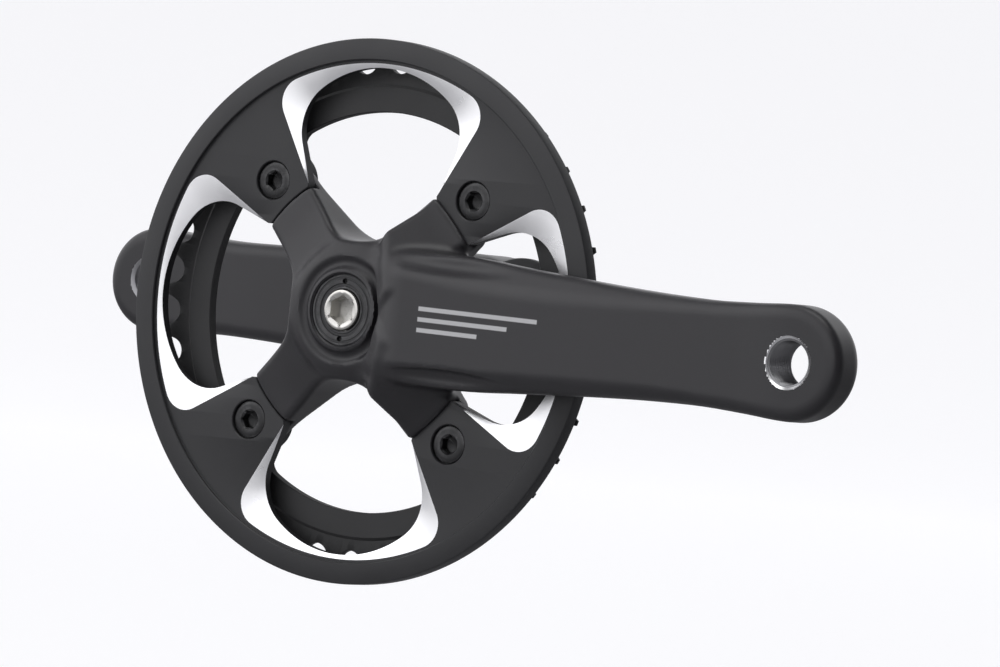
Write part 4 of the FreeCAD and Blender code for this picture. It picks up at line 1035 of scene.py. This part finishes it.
RAMP_FOOT, RAMP_TOP = (11.0, 64.0), (21.0, 71.3)
SCOOP_ALONG, SCOOP_DEPTH, SCOOP_UP = 43, 0.4, 17.6
SCOOP_REACH = (24, 3.6, 3.4)


def arm_distance(along, out, up):
    """The arm with its bevelled outer edges, round eye, side scoops, and the ramp that falls to the hub."""
    beyond = np.maximum(along - ARM_LENGTH, 0)
    width = half_height(along)
    sideways = np.where(along > ARM_LENGTH, np.hypot(beyond, up), np.abs(up))
    side = sideways - width
    edge = np.where(up < 0, upper_edge(along), lower_edge(along))
    drop = bevel_drop(along)
    run = width - edge
    face = (out - outer_face(along)) * 0.996
    bevel = ((sideways - edge) * drop + (out - outer_face(along)) * run) / np.hypot(run, drop)
    back = back_face(along) - out
    shell = smooth_max(face, bevel, 1.3)
    shell = smooth_max(shell, smooth_max(side, back * 0.95, 4.5), 1.8)
    shell = smooth_max(shell, line_distance(along, out, RAMP_FOOT, RAMP_TOP), 3.0)
    scoop_shape = np.sqrt(((along - SCOOP_ALONG) / SCOOP_REACH[0]) ** 2
                          + ((out - outer_face(along) + SCOOP_DEPTH) / SCOOP_REACH[1]) ** 2
                          + ((np.abs(up) - SCOOP_UP) / SCOOP_REACH[2]) ** 2)
    shell = smooth_max(shell, (1 - scoop_shape) * 3.0, 1.0)
    return smooth_max(shell, -along, 1.0)


# %% Hub and spider
HUB_RADIUS, HUB_INNER, HUB_OUTER = 18.5, 39.5, 62.0
BOSS_RADIUS, BOSS_FACE = 13.6, 64.5
MOAT_RADIUS, MOAT_ROUND = 14.5, 1.9
SPIDER_HALF, CROTCH = 9.5, 18.2
STEP_IN, TAB_BACK = 42.3, RING_FACE
CROTCH_CENTRE = (SPIDER_HALF + CROTCH) * math.sqrt(2)
SPIDER_ROOT, SPIDER_KNEE, SPIDER_STEP = (HUB_RADIUS, HUB_OUTER), (27.0, 57.6), (STEP_IN, 55.2)
SPIDER_BACK_ROOT, SPIDER_BACK_TAB = (HUB_RADIUS, HUB_INNER), (41.5, 47.0)
WEB_HALF, WEB_START, WEB_BACK = 8.3, 14.0, 48.0
WEB_ROOT, WEB_FOOT = (27.0, 65.5), (43.0, 55.6)


def hub_distance(along, out, up):
    radius = np.hypot(along, up)
    barrel = smooth_max(radius - HUB_RADIUS, HUB_INNER - out, 1.5)
    cone = line_distance(radius, out, (BOSS_RADIUS, BOSS_FACE), (HUB_RADIUS, HUB_OUTER))
    top = smooth_max(out - BOSS_FACE, cone, 1.0)
    return smooth_max(barrel, top, 2.0)


def moat_distance(along, out, up):
    return np.hypot(np.hypot(along, up) - MOAT_RADIUS, out - BOSS_FACE - 0.3) - MOAT_ROUND


def spider_distance(along, out, up):
    """Four arms with round crotches, falling from the hub to thin tabs that hold ring and guard."""
    u = np.maximum(np.abs(along), np.abs(up))
    v = np.minimum(np.abs(along), np.abs(up))
    length = (u + v) / math.sqrt(2)
    across = (u - v) / math.sqrt(2)
    gap_u = u - CROTCH_CENTRE
    beside = (v - gap_u) / math.sqrt(2)
    to_wedge = np.where(gap_u + v > 0, beside, np.hypot(gap_u, v))
    plan = CROTCH - to_wedge
    tip = np.hypot(np.maximum(length - BOLT_CIRCLE, 0), across) - SPIDER_HALF
    plan = np.where(length > BOLT_CIRCLE, tip, plan)
    radius = np.hypot(along, up)
    steep = line_distance(length, out, SPIDER_ROOT, SPIDER_KNEE)
    shallow = line_distance(length, out, SPIDER_KNEE, SPIDER_STEP)
    front = smooth_min(steep, shallow, 3.0)
    step = smooth_min(radius - STEP_IN, out - GUARD_BACK, 0.4)
    back_slope = -line_distance(length, out, SPIDER_BACK_ROOT, SPIDER_BACK_TAB)
    back = smooth_min(back_slope, TAB_BACK - out, 1.0)
    front = smooth_max(front, out - HUB_OUTER, 1.0)
    rounded = smooth_max(plan, front, 2.2)
    rounded = smooth_max(rounded, back, 1.6)
    return smooth_max(rounded, step, 0.5)


def gusset_distance(along, out, up):
    """Webs on the two spider arms beside the crank arm, sloping from its high root to the tabs."""
    length = (along + np.abs(up)) / math.sqrt(2)
    across = (along - np.abs(up)) / math.sqrt(2)
    web = smooth_max(np.abs(across) - WEB_HALF, line_distance(length, out, WEB_ROOT, WEB_FOOT), 1.6)
    web = smooth_max(web, WEB_START - length, 1.0)
    web = smooth_max(web, length - STEP_IN, 1.0)
    web = smooth_max(web, line_distance(along, out, RAMP_FOOT, RAMP_TOP), 2.0)
    return smooth_max(web, WEB_BACK - out, 1.0)


def drive_arm_distance(along, out, up):
    solid = smooth_min(hub_distance(along, out, up), spider_distance(along, out, up), 5.0)
    solid = smooth_min(solid, gusset_distance(along, out, up), 3.0)
    solid = smooth_min(solid, arm_distance(along, out, up), 3.5)
    solid = smooth_max(solid, HUB_INNER - out, 1.0)
    return smooth_max(solid, -moat_distance(along, out, up), 0.9)


def left_arm_distance(along, out, up):
    solid = smooth_min(hub_distance(along, out, up), arm_distance(along, out, up), 5.0)
    solid = smooth_max(solid, HUB_INNER - out, 1.0)
    return smooth_max(solid, -moat_distance(along, out, up), 0.9)


# %% Stretch a net of quads over a distance
PROBE = 0.02
SLIDES = 3
MEND_ROUNDS = 4


def gradient(solid, points):
    """Which way the distance grows at each point, and how fast."""
    slopes = []
    for axis in range(3):
        shift = np.zeros(3)
        shift[axis] = PROBE
        slopes.append((solid(*(points + shift).T) - solid(*(points - shift).T)) / (2 * PROBE))
    return np.stack(slopes, 1)


def net_over(solid, low, high, step):
    """One point in each cell that the surface crosses, and one quad round each crossed grid edge."""
    axes = [np.arange(a, b + step, step) for a, b in zip(low, high)]
    grid = np.meshgrid(*axes, indexing="ij", sparse=True)
    value = solid(*np.broadcast_arrays(*grid)).astype(np.float32)
    cells = tuple(n - 1 for n in value.shape)
    corners = np.array([(i, j, k) for i in (0, 1) for j in (0, 1) for k in (0, 1)])
    corner_value = [value[i:i + cells[0], j:j + cells[1], k:k + cells[2]] for i, j, k in corners]
    inside_count = sum((c < 0).astype(np.int8) for c in corner_value)
    active = (inside_count > 0) & (inside_count < 8)
    number = np.full(cells, -1, np.int64)
    number[active] = np.arange(active.sum())
    at = np.argwhere(active)
    values = np.stack([c[active] for c in corner_value], 1)
    total, hits = np.zeros((len(at), 3)), np.zeros(len(at))
    for a in range(8):
        for b in range(a + 1, 8):
            if np.abs(corners[a] - corners[b]).sum() == 1:
                crossed = (values[:, a] < 0) != (values[:, b] < 0)
                share = values[crossed, a] / (values[crossed, a] - values[crossed, b])
                total[crossed] += corners[a] + share[:, None] * (corners[b] - corners[a])
                hits[crossed] += 1
    points = np.array(low) + (at + total / hits[:, None]) * step
    for slide in range(SLIDES):
        slope = gradient(solid, points)
        distance = solid(*points.T)
        move = slope * (distance / np.maximum((slope ** 2).sum(1), 0.25))[:, None]
        points -= np.clip(move, -step / 2, step / 2)
    quads = []
    inside = value < 0
    for axis in range(3):
        first = [slice(1, -1)] * 3
        second = [slice(1, -1)] * 3
        first[axis], second[axis] = slice(0, -1), slice(1, None)
        before, behind = inside[tuple(first)], inside[tuple(second)]
        for flip, crossed in ((False, before & ~behind), (True, ~before & behind)):
            where = np.argwhere(crossed)
            offset = np.ones(3, int)
            offset[axis] = 0
            base = where + offset
            side_a, side_b = [np.eye(3, dtype=int)[k] for k in ((axis + 1) % 3, (axis + 2) % 3)]
            around = [base - side_a - side_b, base - side_b, base, base - side_a]
            quad = np.stack([number[tuple(cell.T)] for cell in around], 1)
            quads.append(quad[:, ::-1] if flip else quad)
    return points, np.concatenate(quads)


def collapse_pinches(piece):
    """Closes the few edges where two parts of the net touch, so that the mesh is one clean skin."""
    mend = bmesh.new()
    mend.from_mesh(piece.data)
    for mend_round in range(MEND_ROUNDS):
        pinched = [edge for edge in mend.edges if len(edge.link_faces) != 2]
        if not pinched:
            break
        bmesh.ops.collapse(mend, edges=pinched)
        bmesh.ops.dissolve_degenerate(mend, edges=mend.edges, dist=0.001 * MM)
    mend.to_mesh(piece.data)
    mend.free()


def forged(name, solid, side, low, high, step):
    points, quads = net_over(solid, low, high, step)
    made = object_from(name, on_side(points, side), quads.tolist(), sharp_degrees=180)
    collapse_pinches(made)
    report(made)
    return made


NET_STEP = 0.7
NET_END, NET_BACK, NET_FRONT = 189.0, 37.2, 86.5
SPIDER_REACH = 63.0
drive_arm = forged("drive_arm_forging", drive_arm_distance, "drive",
                   (-SPIDER_REACH, NET_BACK, -SPIDER_REACH), (NET_END, NET_FRONT, SPIDER_REACH), NET_STEP)
left_arm = forged("left_arm_forging", left_arm_distance, "left",
                  (-21.0, NET_BACK, -22.0), (NET_END, NET_FRONT, 22.0), NET_STEP)

# %% Cut the holes of the arms
CAP_RECESS, RECESS_FLOOR = 11.02, 57.5
SPLINES = 12
SPLINE_RADIUS, SPLINE_NOTCH = 8.4, 1.0
PEDAL_CREST, PEDAL_ROOT, PEDAL_PITCH = 7.14, 6.5, 1.27
EYE_BACK = 71.0
PEDAL_MOUTH = PEDAL_CREST + 0.92


def splined(radius, depth):
    """A round section with evenly spaced round notches."""
    def at(angles):
        period = TURN / SPLINES
        off = np.abs((angles + period / 2) % period - period / 2) * radius
        return radius - depth * np.sqrt(np.clip(1 - (off / SPLINE_NOTCH) ** 2, 0, 1))
    return at


def hub_cutter(side):
    bore = splined(SPLINE_RADIUS + 0.03, SPLINE_NOTCH)
    steps = [(HUB_INNER - 2, 0.0), (HUB_INNER - 2, bore), (RECESS_FLOOR, bore), (RECESS_FLOOR, CAP_RECESS),
             (BOSS_FACE - 0.35, CAP_RECESS), (BOSS_FACE + 0.1, CAP_RECESS + 0.45),
             (BOSS_FACE + 3, CAP_RECESS + 0.45), (BOSS_FACE + 3, 0.0)]
    return turned("hub_cutter", steps, side, samples=192)


def pedal_cutter(side):
    steps = [(EYE_BACK - 2, 0.0), (EYE_BACK - 2, PEDAL_CREST + 0.9), (EYE_BACK - 0.1, PEDAL_CREST + 0.9),
             (EYE_BACK + 0.7, PEDAL_ROOT)]
    steps += thread_steps(EYE_BACK + 0.9, EYE_FACE - 1.0, PEDAL_ROOT, PEDAL_CREST, PEDAL_PITCH, fade=0.3)
    steps += [(EYE_FACE - 0.75, PEDAL_CREST), (EYE_FACE + 0.12, PEDAL_CREST + 0.85),
              (EYE_FACE + 2, PEDAL_CREST + 0.85), (EYE_FACE + 2, 0.0)]
    return turned("pedal_cutter", steps, side, samples=72, centre=(ARM_LENGTH, 0.0))


def near_axis(piece, centre_x, radius, lowest_out=0.0):
    """Which faces have every corner inside a radius about an axis along Y, and past a place along it."""
    points = np.zeros(len(piece.data.vertices) * 3)
    piece.data.vertices.foreach_get("co", points)
    x, y, z = points.reshape(-1, 3).T / MM
    outside = (np.hypot(x - centre_x, z) > radius) | (np.abs(y) < lowest_out)
    starts = np.zeros(len(piece.data.polygons), np.int32)
    piece.data.polygons.foreach_get("loop_start", starts)
    corners = np.zeros(len(piece.data.loops), np.int32)
    piece.data.loops.foreach_get("vertex_index", corners)
    return ~np.maximum.reduceat(outside[corners], starts)


for arm, side, slot_node in ((drive_arm, "drive", "drive_crank_arm"), (left_arm, "left", "left_crank_arm")):
    combined(arm, hub_cutter(side), "DIFFERENCE")
    combined(arm, pedal_cutter(side), "DIFFERENCE")
    if side == "drive":
        for centre in BOLT_CENTRES:
            drill = [(TAB_BACK - 2, 0.0), (TAB_BACK - 2, GUARD_HOLE), (GUARD_BACK + 3, GUARD_HOLE),
                     (GUARD_BACK + 3, 0.0)]
            combined(arm, turned("drill", drill, side, samples=HOLE_SAMPLES, centre=centre), "DIFFERENCE")
    eye_x = ARM_LENGTH * BENCH_TO_SIDE[side][0]
    # Faces inside the pedal hole and the spline bore take the cut alloy darkened as painted shade; the mouth
    # of the pedal hole takes the bright cut.
    machined = near_axis(arm, eye_x, PEDAL_MOUTH) | near_axis(arm, 0.0, SPLINE_RADIUS + 0.3)
    mouth = near_axis(arm, eye_x, PEDAL_MOUTH, EYE_FACE - 0.8)
    arm.data.polygons.foreach_set("material_index", machined.astype(np.int32) + mouth)
    dress(arm, "crank", "forged_arm", slot_node, extra=(FINISHES["cut_alloy_painted_shade"], bright))

# %% [markdown]
# ## Crank bolts, caps and washers
# Inside each boss a large bolt pulls the arm onto the splines, with a washer below its flange. The
# threaded cap round it turns the same bolt into a puller when it is undone. Its face is turned in
# steps, which show as fine rings in the light, and two pin holes let a tool turn it.

# %% Bolt, cap and washer of one side
CAP_RADIUS, CAP_FACE, CAP_BORE = 11.0, 64.2, 6.5
BOLT_NOSE, BOLT_FACE = 6.15, 65.0
FLANGE_BACK, FLANGE_FACE, FLANGE_RADIUS = 58.5, 60.5, 9.8
SHANK_START, SHANK_END, SHANK_ROOT, SHANK_CREST = 38.5, 55.5, 3.4, 4.0
WASHER_BACK, WASHER_BORE, WASHER_RADIUS = RECESS_FLOOR, 4.3, 9.9
PIN_HOLE_RADIUS, PIN_HOLE_REACH = 0.9, 8.75


def crank_bolt(side):
    shank = thread_steps(SHANK_START, SHANK_END, SHANK_ROOT, SHANK_CREST, 1.0, fade=0.8)
    steps = ([(SHANK_START - 0.5, 0.0), (SHANK_START - 0.5, 3.0), (SHANK_START - 0.1, SHANK_ROOT)] + shank
             + [(FLANGE_BACK, SHANK_CREST), (FLANGE_BACK, FLANGE_RADIUS - 0.25),
                (FLANGE_BACK + 0.25, FLANGE_RADIUS), (FLANGE_FACE - 0.25, FLANGE_RADIUS),
                (FLANGE_FACE, FLANGE_RADIUS - 0.25), (FLANGE_FACE, BOLT_NOSE), (BOLT_FACE - 0.45, BOLT_NOSE),
                (BOLT_FACE - 0.12, BOLT_NOSE - 0.14), (BOLT_FACE, BOLT_NOSE - 0.45)]
             + socket_steps(BOLT_FACE, BOLT_FACE - 5.5, 8.0))
    return turned(side + "_arm_bolt", steps, side)


def extractor_cap(side):
    face = [(CAP_FACE, CAP_RADIUS - 0.5), (CAP_FACE, 10.1), (CAP_FACE - 0.18, 9.95), (CAP_FACE - 0.18, 9.45),
            (CAP_FACE, 9.3), (CAP_FACE, 8.15), (CAP_FACE - 0.35, 7.9), (CAP_FACE - 0.35, 7.25),
            (CAP_FACE - 0.1, 7.05), (CAP_FACE - 0.1, CAP_BORE + 0.15), (CAP_FACE - 0.25, CAP_BORE)]
    outside = thread_steps(FLANGE_FACE + 0.5, CAP_FACE - 0.5, CAP_RADIUS - 0.5, CAP_RADIUS, 1.0, fade=0.4)
    steps = ([(FLANGE_FACE + 0.4, CAP_BORE), (FLANGE_FACE + 0.4, CAP_RADIUS - 0.5)] + outside
             + [(CAP_FACE - 0.25, CAP_RADIUS - 0.12)] + face)
    made = turned(side + "_puller_cap", steps, side)
    for sign in (1, -1):
        pin = [(CAP_FACE - 1.5, 0.0), (CAP_FACE - 1.3, PIN_HOLE_RADIUS), (CAP_FACE + 1, PIN_HOLE_RADIUS),
               (CAP_FACE + 1, 0.0)]
        drill = turned("pin_hole", pin, side, samples=24, centre=(0.0, sign * PIN_HOLE_REACH))
        combined(made, drill, "DIFFERENCE")
    return made


def washer(side):
    profile = eased([(WASHER_BACK, WASHER_BORE), (WASHER_BACK, WASHER_RADIUS), (FLANGE_BACK, WASHER_RADIUS),
                     (FLANGE_BACK, WASHER_BORE)], 0.12)
    return turned(side + "_flange_washer", profile, side)


for side in ("drive", "left"):
    dress(crank_bolt(side), "crank", "crank_bolt_steel", side + "_crank_bolt")
    dress(extractor_cap(side), "crank", "cap_black", side + "_extractor_cap")
    dress(washer(side), "crank", "washer_steel", side + "_bolt_washer")

# %% [markdown]
# ## Spindle
# The spindle is ground steel with a shoulder between the bearings and twelve splines at each end. It is
# one stack of rings from end to end, and where the splines are the ring's radius has twelve notches.

# %% Build the spindle
SPINDLE_RADIUS, SHOULDER_RADIUS, SHOULDER_END = 8.5, 9.8, 23.5
SPLINE_START = 38.5
BOLT_HOLE = 4.02


def half_spindle():
    """Steps from the middle outwards to the end of the threaded bolt hole."""
    notched = splined(SPLINE_RADIUS, SPLINE_NOTCH)
    return [(SHOULDER_END - 0.6, SHOULDER_RADIUS), (SHOULDER_END, SHOULDER_RADIUS - 0.6),
            (SHOULDER_END, SPINDLE_RADIUS), (SPLINE_START - 1.2, SPINDLE_RADIUS),
            (SPLINE_START, SPLINE_RADIUS), (SPLINE_START + 1.6, notched), (SPINDLE_END - 0.7, notched),
            (SPINDLE_END, splined(SPLINE_RADIUS - 0.6, SPLINE_NOTCH * 0.5)), (SPINDLE_END, 4.6),
            (SPINDLE_END - 0.5, BOLT_HOLE), (SPINDLE_END - 26, BOLT_HOLE), (SPINDLE_END - 27.5, 0.0)]


right_half = half_spindle()
left_half = [(-out, radius) for out, radius in reversed(right_half)]
spindle = turned("splined_spindle", left_half + right_half, "drive", samples=192)
dress(spindle, "crank", "spindle_steel", "spindle")

# %% [markdown]
# ## Bottom bracket
# Two black cups screw into the bicycle's shell and clamp a thin steel sleeve that holds both bearings.
# The thread has 24 turns to the inch, left-handed on the drive side so that pedalling never loosens it.
# The cup's mouth is notched all round for a splined tool: the ring's radius jumps in twenty slots.

# %% Cups
SHELL_FACE = 34.0
CUP_THREAD, CUP_THREAD_ROOT, CUP_PITCH = 17.4, 16.85, 25.4 / 24
FLANGE, MOUTH, NOTCH_REACH = 20.6, 14.2, 15.6
NOTCHES, NOTCH_HALF, NOTCH_FLOOR = 20, 1.1, 31.0


def slotted(angles):
    """Mouth radius with its tool slots."""
    period = TURN / NOTCHES
    off = np.abs((angles + period / 2) % period - period / 2) * NOTCH_REACH
    return np.where(off < NOTCH_HALF, NOTCH_REACH, MOUTH)


def cup(side, hand):
    thread = thread_steps(CUP_INNER + 0.8, SHELL_FACE - 0.6, CUP_THREAD_ROOT, CUP_THREAD, CUP_PITCH,
                          hand=hand, fade=0.8)
    wall_inner = reach("cartridge_sleeve")
    lead_in = [(CUP_INNER, wall_inner), (CUP_INNER, CUP_THREAD_ROOT - 0.3),
               (CUP_INNER + 0.5, CUP_THREAD_ROOT)]
    flange = [(SHELL_FACE, CUP_THREAD_ROOT), (SHELL_FACE, FLANGE - 0.3), (SHELL_FACE + 0.3, FLANGE),
              (CUP_OUTER - 0.5, FLANGE), (CUP_OUTER - 0.15, FLANGE - 0.15), (CUP_OUTER, FLANGE - 0.5)]
    mouth = [(CUP_OUTER, lambda angles: slotted(angles) + 0.3), (CUP_OUTER - 0.3, slotted),
             (NOTCH_FLOOR + 0.1, slotted), (NOTCH_FLOOR + 0.05, MOUTH), (NOTCH_FLOOR, MOUTH),
             (NOTCH_FLOOR, wall_inner)]
    steps = lead_in + thread + flange + mouth
    return turned(side + "_thread_cup", steps, side, samples=240)


for side, hand in (("drive", -1), ("left", 1)):
    dress(cup(side, hand), "bottom_bracket", "cup_black", side + "_cup")

# %% Sleeve and dust seals
SLEEVE_RADIUS, SLEEVE_WALL = reach("cartridge_sleeve"), 0.8
sleeve_profile = eased([(-SLEEVE_END, SLEEVE_RADIUS - SLEEVE_WALL), (-SLEEVE_END, SLEEVE_RADIUS),
                        (SLEEVE_END, SLEEVE_RADIUS), (SLEEVE_END, SLEEVE_RADIUS - SLEEVE_WALL)], 0.2)
sleeve = turned("bearing_sleeve", sleeve_profile, "drive", samples=128)
dress(sleeve, "bottom_bracket", "sleeve_steel", "cartridge_sleeve")


def dust_seal(side):
    """A moulded ring with a stiff rim and a thin raised lip towards the spindle."""
    inner, outer = out_range("drive_dust_seal")
    steps = eased([(inner, 8.9), (inner, 14.15), (outer, 14.15), (outer, 12.6), (outer - 0.5, 12.1),
                   (outer - 0.5, 10.6), (outer - 0.05, 10.0), (outer - 0.05, 9.3), (outer - 0.6, 8.85)], 0.12)
    return turned(side + "_lip_seal", steps, side)


for side in ("drive", "left"):
    dress(dust_seal(side), "bottom_bracket", "seal_rubber", side + "_dust_seal")

# %% Bearings
BEARING_MIDDLE, BEARING_HALF = 27.0, 3.5
BALL_CIRCLE, BALL_RADIUS, BALLS = 11.75, 2.0, 11
GROOVE_RADIUS, GROOVE_SWEEP = 2.06, 50
OUTER_WALL, OUTER_LIP = 14.95, 13.45
INNER_WALL, INNER_LIP = 8.55, 10.1


def grooved(wall, lip, groove_sign):
    """A race: a ring whose inner or outer wall is hollowed to cradle the balls."""
    groove = []
    for angle in np.radians(np.linspace(-GROOVE_SWEEP, GROOVE_SWEEP, 11)):
        out = BEARING_MIDDLE + GROOVE_RADIUS * math.sin(angle)
        groove.append((out, BALL_CIRCLE + groove_sign * GROOVE_RADIUS * math.cos(angle)))
    low_out, high_out = BEARING_MIDDLE - BEARING_HALF, BEARING_MIDDLE + BEARING_HALF
    return [(low_out, wall), (low_out, lip)] + groove + [(high_out, lip), (high_out, wall)]


for side in ("drive", "left"):
    outer = turned(side + "_outer_bearing_ring", grooved(OUTER_WALL, OUTER_LIP, 1), side)
    dress(outer, "bottom_bracket", "race_steel", side + "_outer_race")
    inner = turned(side + "_inner_bearing_ring", grooved(INNER_WALL, INNER_LIP, -1), side)
    dress(inner, "crank", "race_steel", side + "_inner_race")
    ball_profile = [(BEARING_MIDDLE - BALL_RADIUS * math.cos(a), BALL_RADIUS * math.sin(a))
                    for a in np.linspace(0, math.pi, 17)]
    one_ball = turned("one_ball", ball_profile, side, samples=32, centre=(BALL_CIRCLE, 0.0))
    balls = repeated_round(one_ball, side + "_bearing_balls", BALLS, "ball_steel", merge=0.0)
    dress(balls, side + "_ball_train", "ball_steel", side + "_balls")

# %% [markdown]
# ## Pieces that stay as they are
# The ball cages and the bearing shields are plain enough in the frame, so they only need their finish.

# %% Finish the pieces that stay
shown_slots = {row["node"]: row["material_slot"] for row in frame["record"]["subparts"]}
kept = []
for name, node in frame["nodes"].items():
    if not node.hide_render:
        node.data.materials.clear()
        node.data.materials.append(FINISHES[shown_slots[name]])
        kept.append(name)
print("kept from the frame:", kept)

# %% [markdown]
# ## Stage and light
# Black metal shows only what it mirrors. The stage is one round bowl, a floor that curves up into a wall
# with no horizon line, and it is the main lamp too: its wall glows all round except for a dark part at
# the front of the bicycle and near the floor. The camera itself sees one even tone everywhere.

# %% Stage
FLOOR_LEVEL = -0.27
STAGE_RADIUS, STAGE_CURVE, STAGE_HEIGHT = 9.0, 3.0, 9.0
FLAG_DIRECTION = (1.0, 0.0, 0.0)
WALL_GLOW, FLAG_GLOW, SEEN_GLOW = 1.16, 0.012, 0.72
FLAG_FROM, FLAG_TO = 0.15, 0.50
FLOOR_GLOW, FLOOR_FROM, FLOOR_TO = 0.06, -0.14, 0.02


def stage_bowl():
    """A round floor that curves up into a wall."""
    bend = [(STAGE_RADIUS - STAGE_CURVE + STAGE_CURVE * math.sin(a), STAGE_CURVE * (1 - math.cos(a)))
            for a in np.linspace(0, math.pi / 2, 16)]
    profile = [(1e-3, 0.0), (1.0, 0.0), (2.5, 0.0)] + bend + [(STAGE_RADIUS, STAGE_HEIGHT)]
    rings = []
    for radius, height in profile:
        angles = ring_angles(RING_SAMPLES)
        rings.append(np.stack([radius * np.cos(angles), radius * np.sin(angles),
                               np.full(RING_SAMPLES, FLOOR_LEVEL + height)], 1))
    points, faces = joined_rings(rings, closed=False)
    mesh = bpy.data.meshes.new("stage_bowl")
    mesh.from_pydata(points.tolist(), [], [tuple(reversed(face)) for face in faces])
    mesh.polygons.foreach_set("use_smooth", np.ones(len(mesh.polygons), bool))
    made = bpy.data.objects.new("stage_bowl", mesh)
    bpy.context.scene.collection.objects.link(made)
    return made


bowl = stage_bowl()
paper = bpy.data.materials.new("stage_paper")
paper.use_nodes = True
shader = paper.node_tree.nodes["Principled BSDF"]
tree = paper.node_tree
place = add(tree, "ShaderNodeTexCoord").outputs["Object"]
direction = add(tree, "ShaderNodeVectorMath", {0: place}, operation="NORMALIZE")
towards_flag = add(tree, "ShaderNodeVectorMath", {0: direction.outputs[0], 1: FLAG_DIRECTION},
                   operation="DOT_PRODUCT")
walls = add(tree, "ShaderNodeMapRange", {"Value": towards_flag.outputs["Value"], "From Min": FLAG_FROM,
                                         "From Max": FLAG_TO, "To Min": WALL_GLOW, "To Max": FLAG_GLOW})
slope = add(tree, "ShaderNodeSeparateXYZ", {"Vector": direction.outputs[0]})
floor_fade = add(tree, "ShaderNodeMapRange", {"Value": slope.outputs["Z"], "From Min": FLOOR_FROM,
                                              "From Max": FLOOR_TO, "To Min": FLOOR_GLOW})
glow = math_node(tree, "MULTIPLY", walls.outputs[0], floor_fade.outputs[0])
seen = add(tree, "ShaderNodeLightPath")
strength = add(tree, "ShaderNodeMix", {0: seen.outputs["Is Camera Ray"], 2: glow, 3: SEEN_GLOW},
               data_type="FLOAT")
tree.links.new(strength.outputs[0], shader.inputs["Emission Strength"])
shader.inputs["Emission Color"].default_value = (0.98, 0.98, 1.0, 1.0)
shader.inputs["Base Color"].default_value = (0.30, 0.30, 0.31, 1.0)
shader.inputs["Roughness"].default_value = 0.9
bowl.data.materials.append(paper)
print("stage", bowl.name)

# %% Lights
LIGHT_TARGET = Vector((0.03, 0.0, 0.0))


def soft_light(name, place, size, power):
    """A square lamp aimed at the crankset, with its side in metres and its power in watts."""
    light = bpy.data.lights.new(name, "AREA")
    light.shape = "SQUARE"
    light.size = size
    light.energy = power
    made = bpy.data.objects.new(name, light)
    made.matrix_world = aim(Vector(place), LIGHT_TARGET, Vector((0, 0, 1)))
    bpy.context.scene.collection.objects.link(made)
    return made


soft_light("key", (-1.9, -2.2, 1.3), 1.4, 4)
soft_light("top", (0.1, -0.6, 2.6), 2.0, 30)
world = bpy.data.worlds.new("studio")
world.use_nodes = True
world.node_tree.nodes["Background"].inputs["Color"].default_value = (0.9, 0.92, 1.0, 1)
world.node_tree.nodes["Background"].inputs["Strength"].default_value = 0.08
bpy.context.scene.world = world
bpy.context.scene.view_settings.view_transform = "Standard"
print("lights ready")
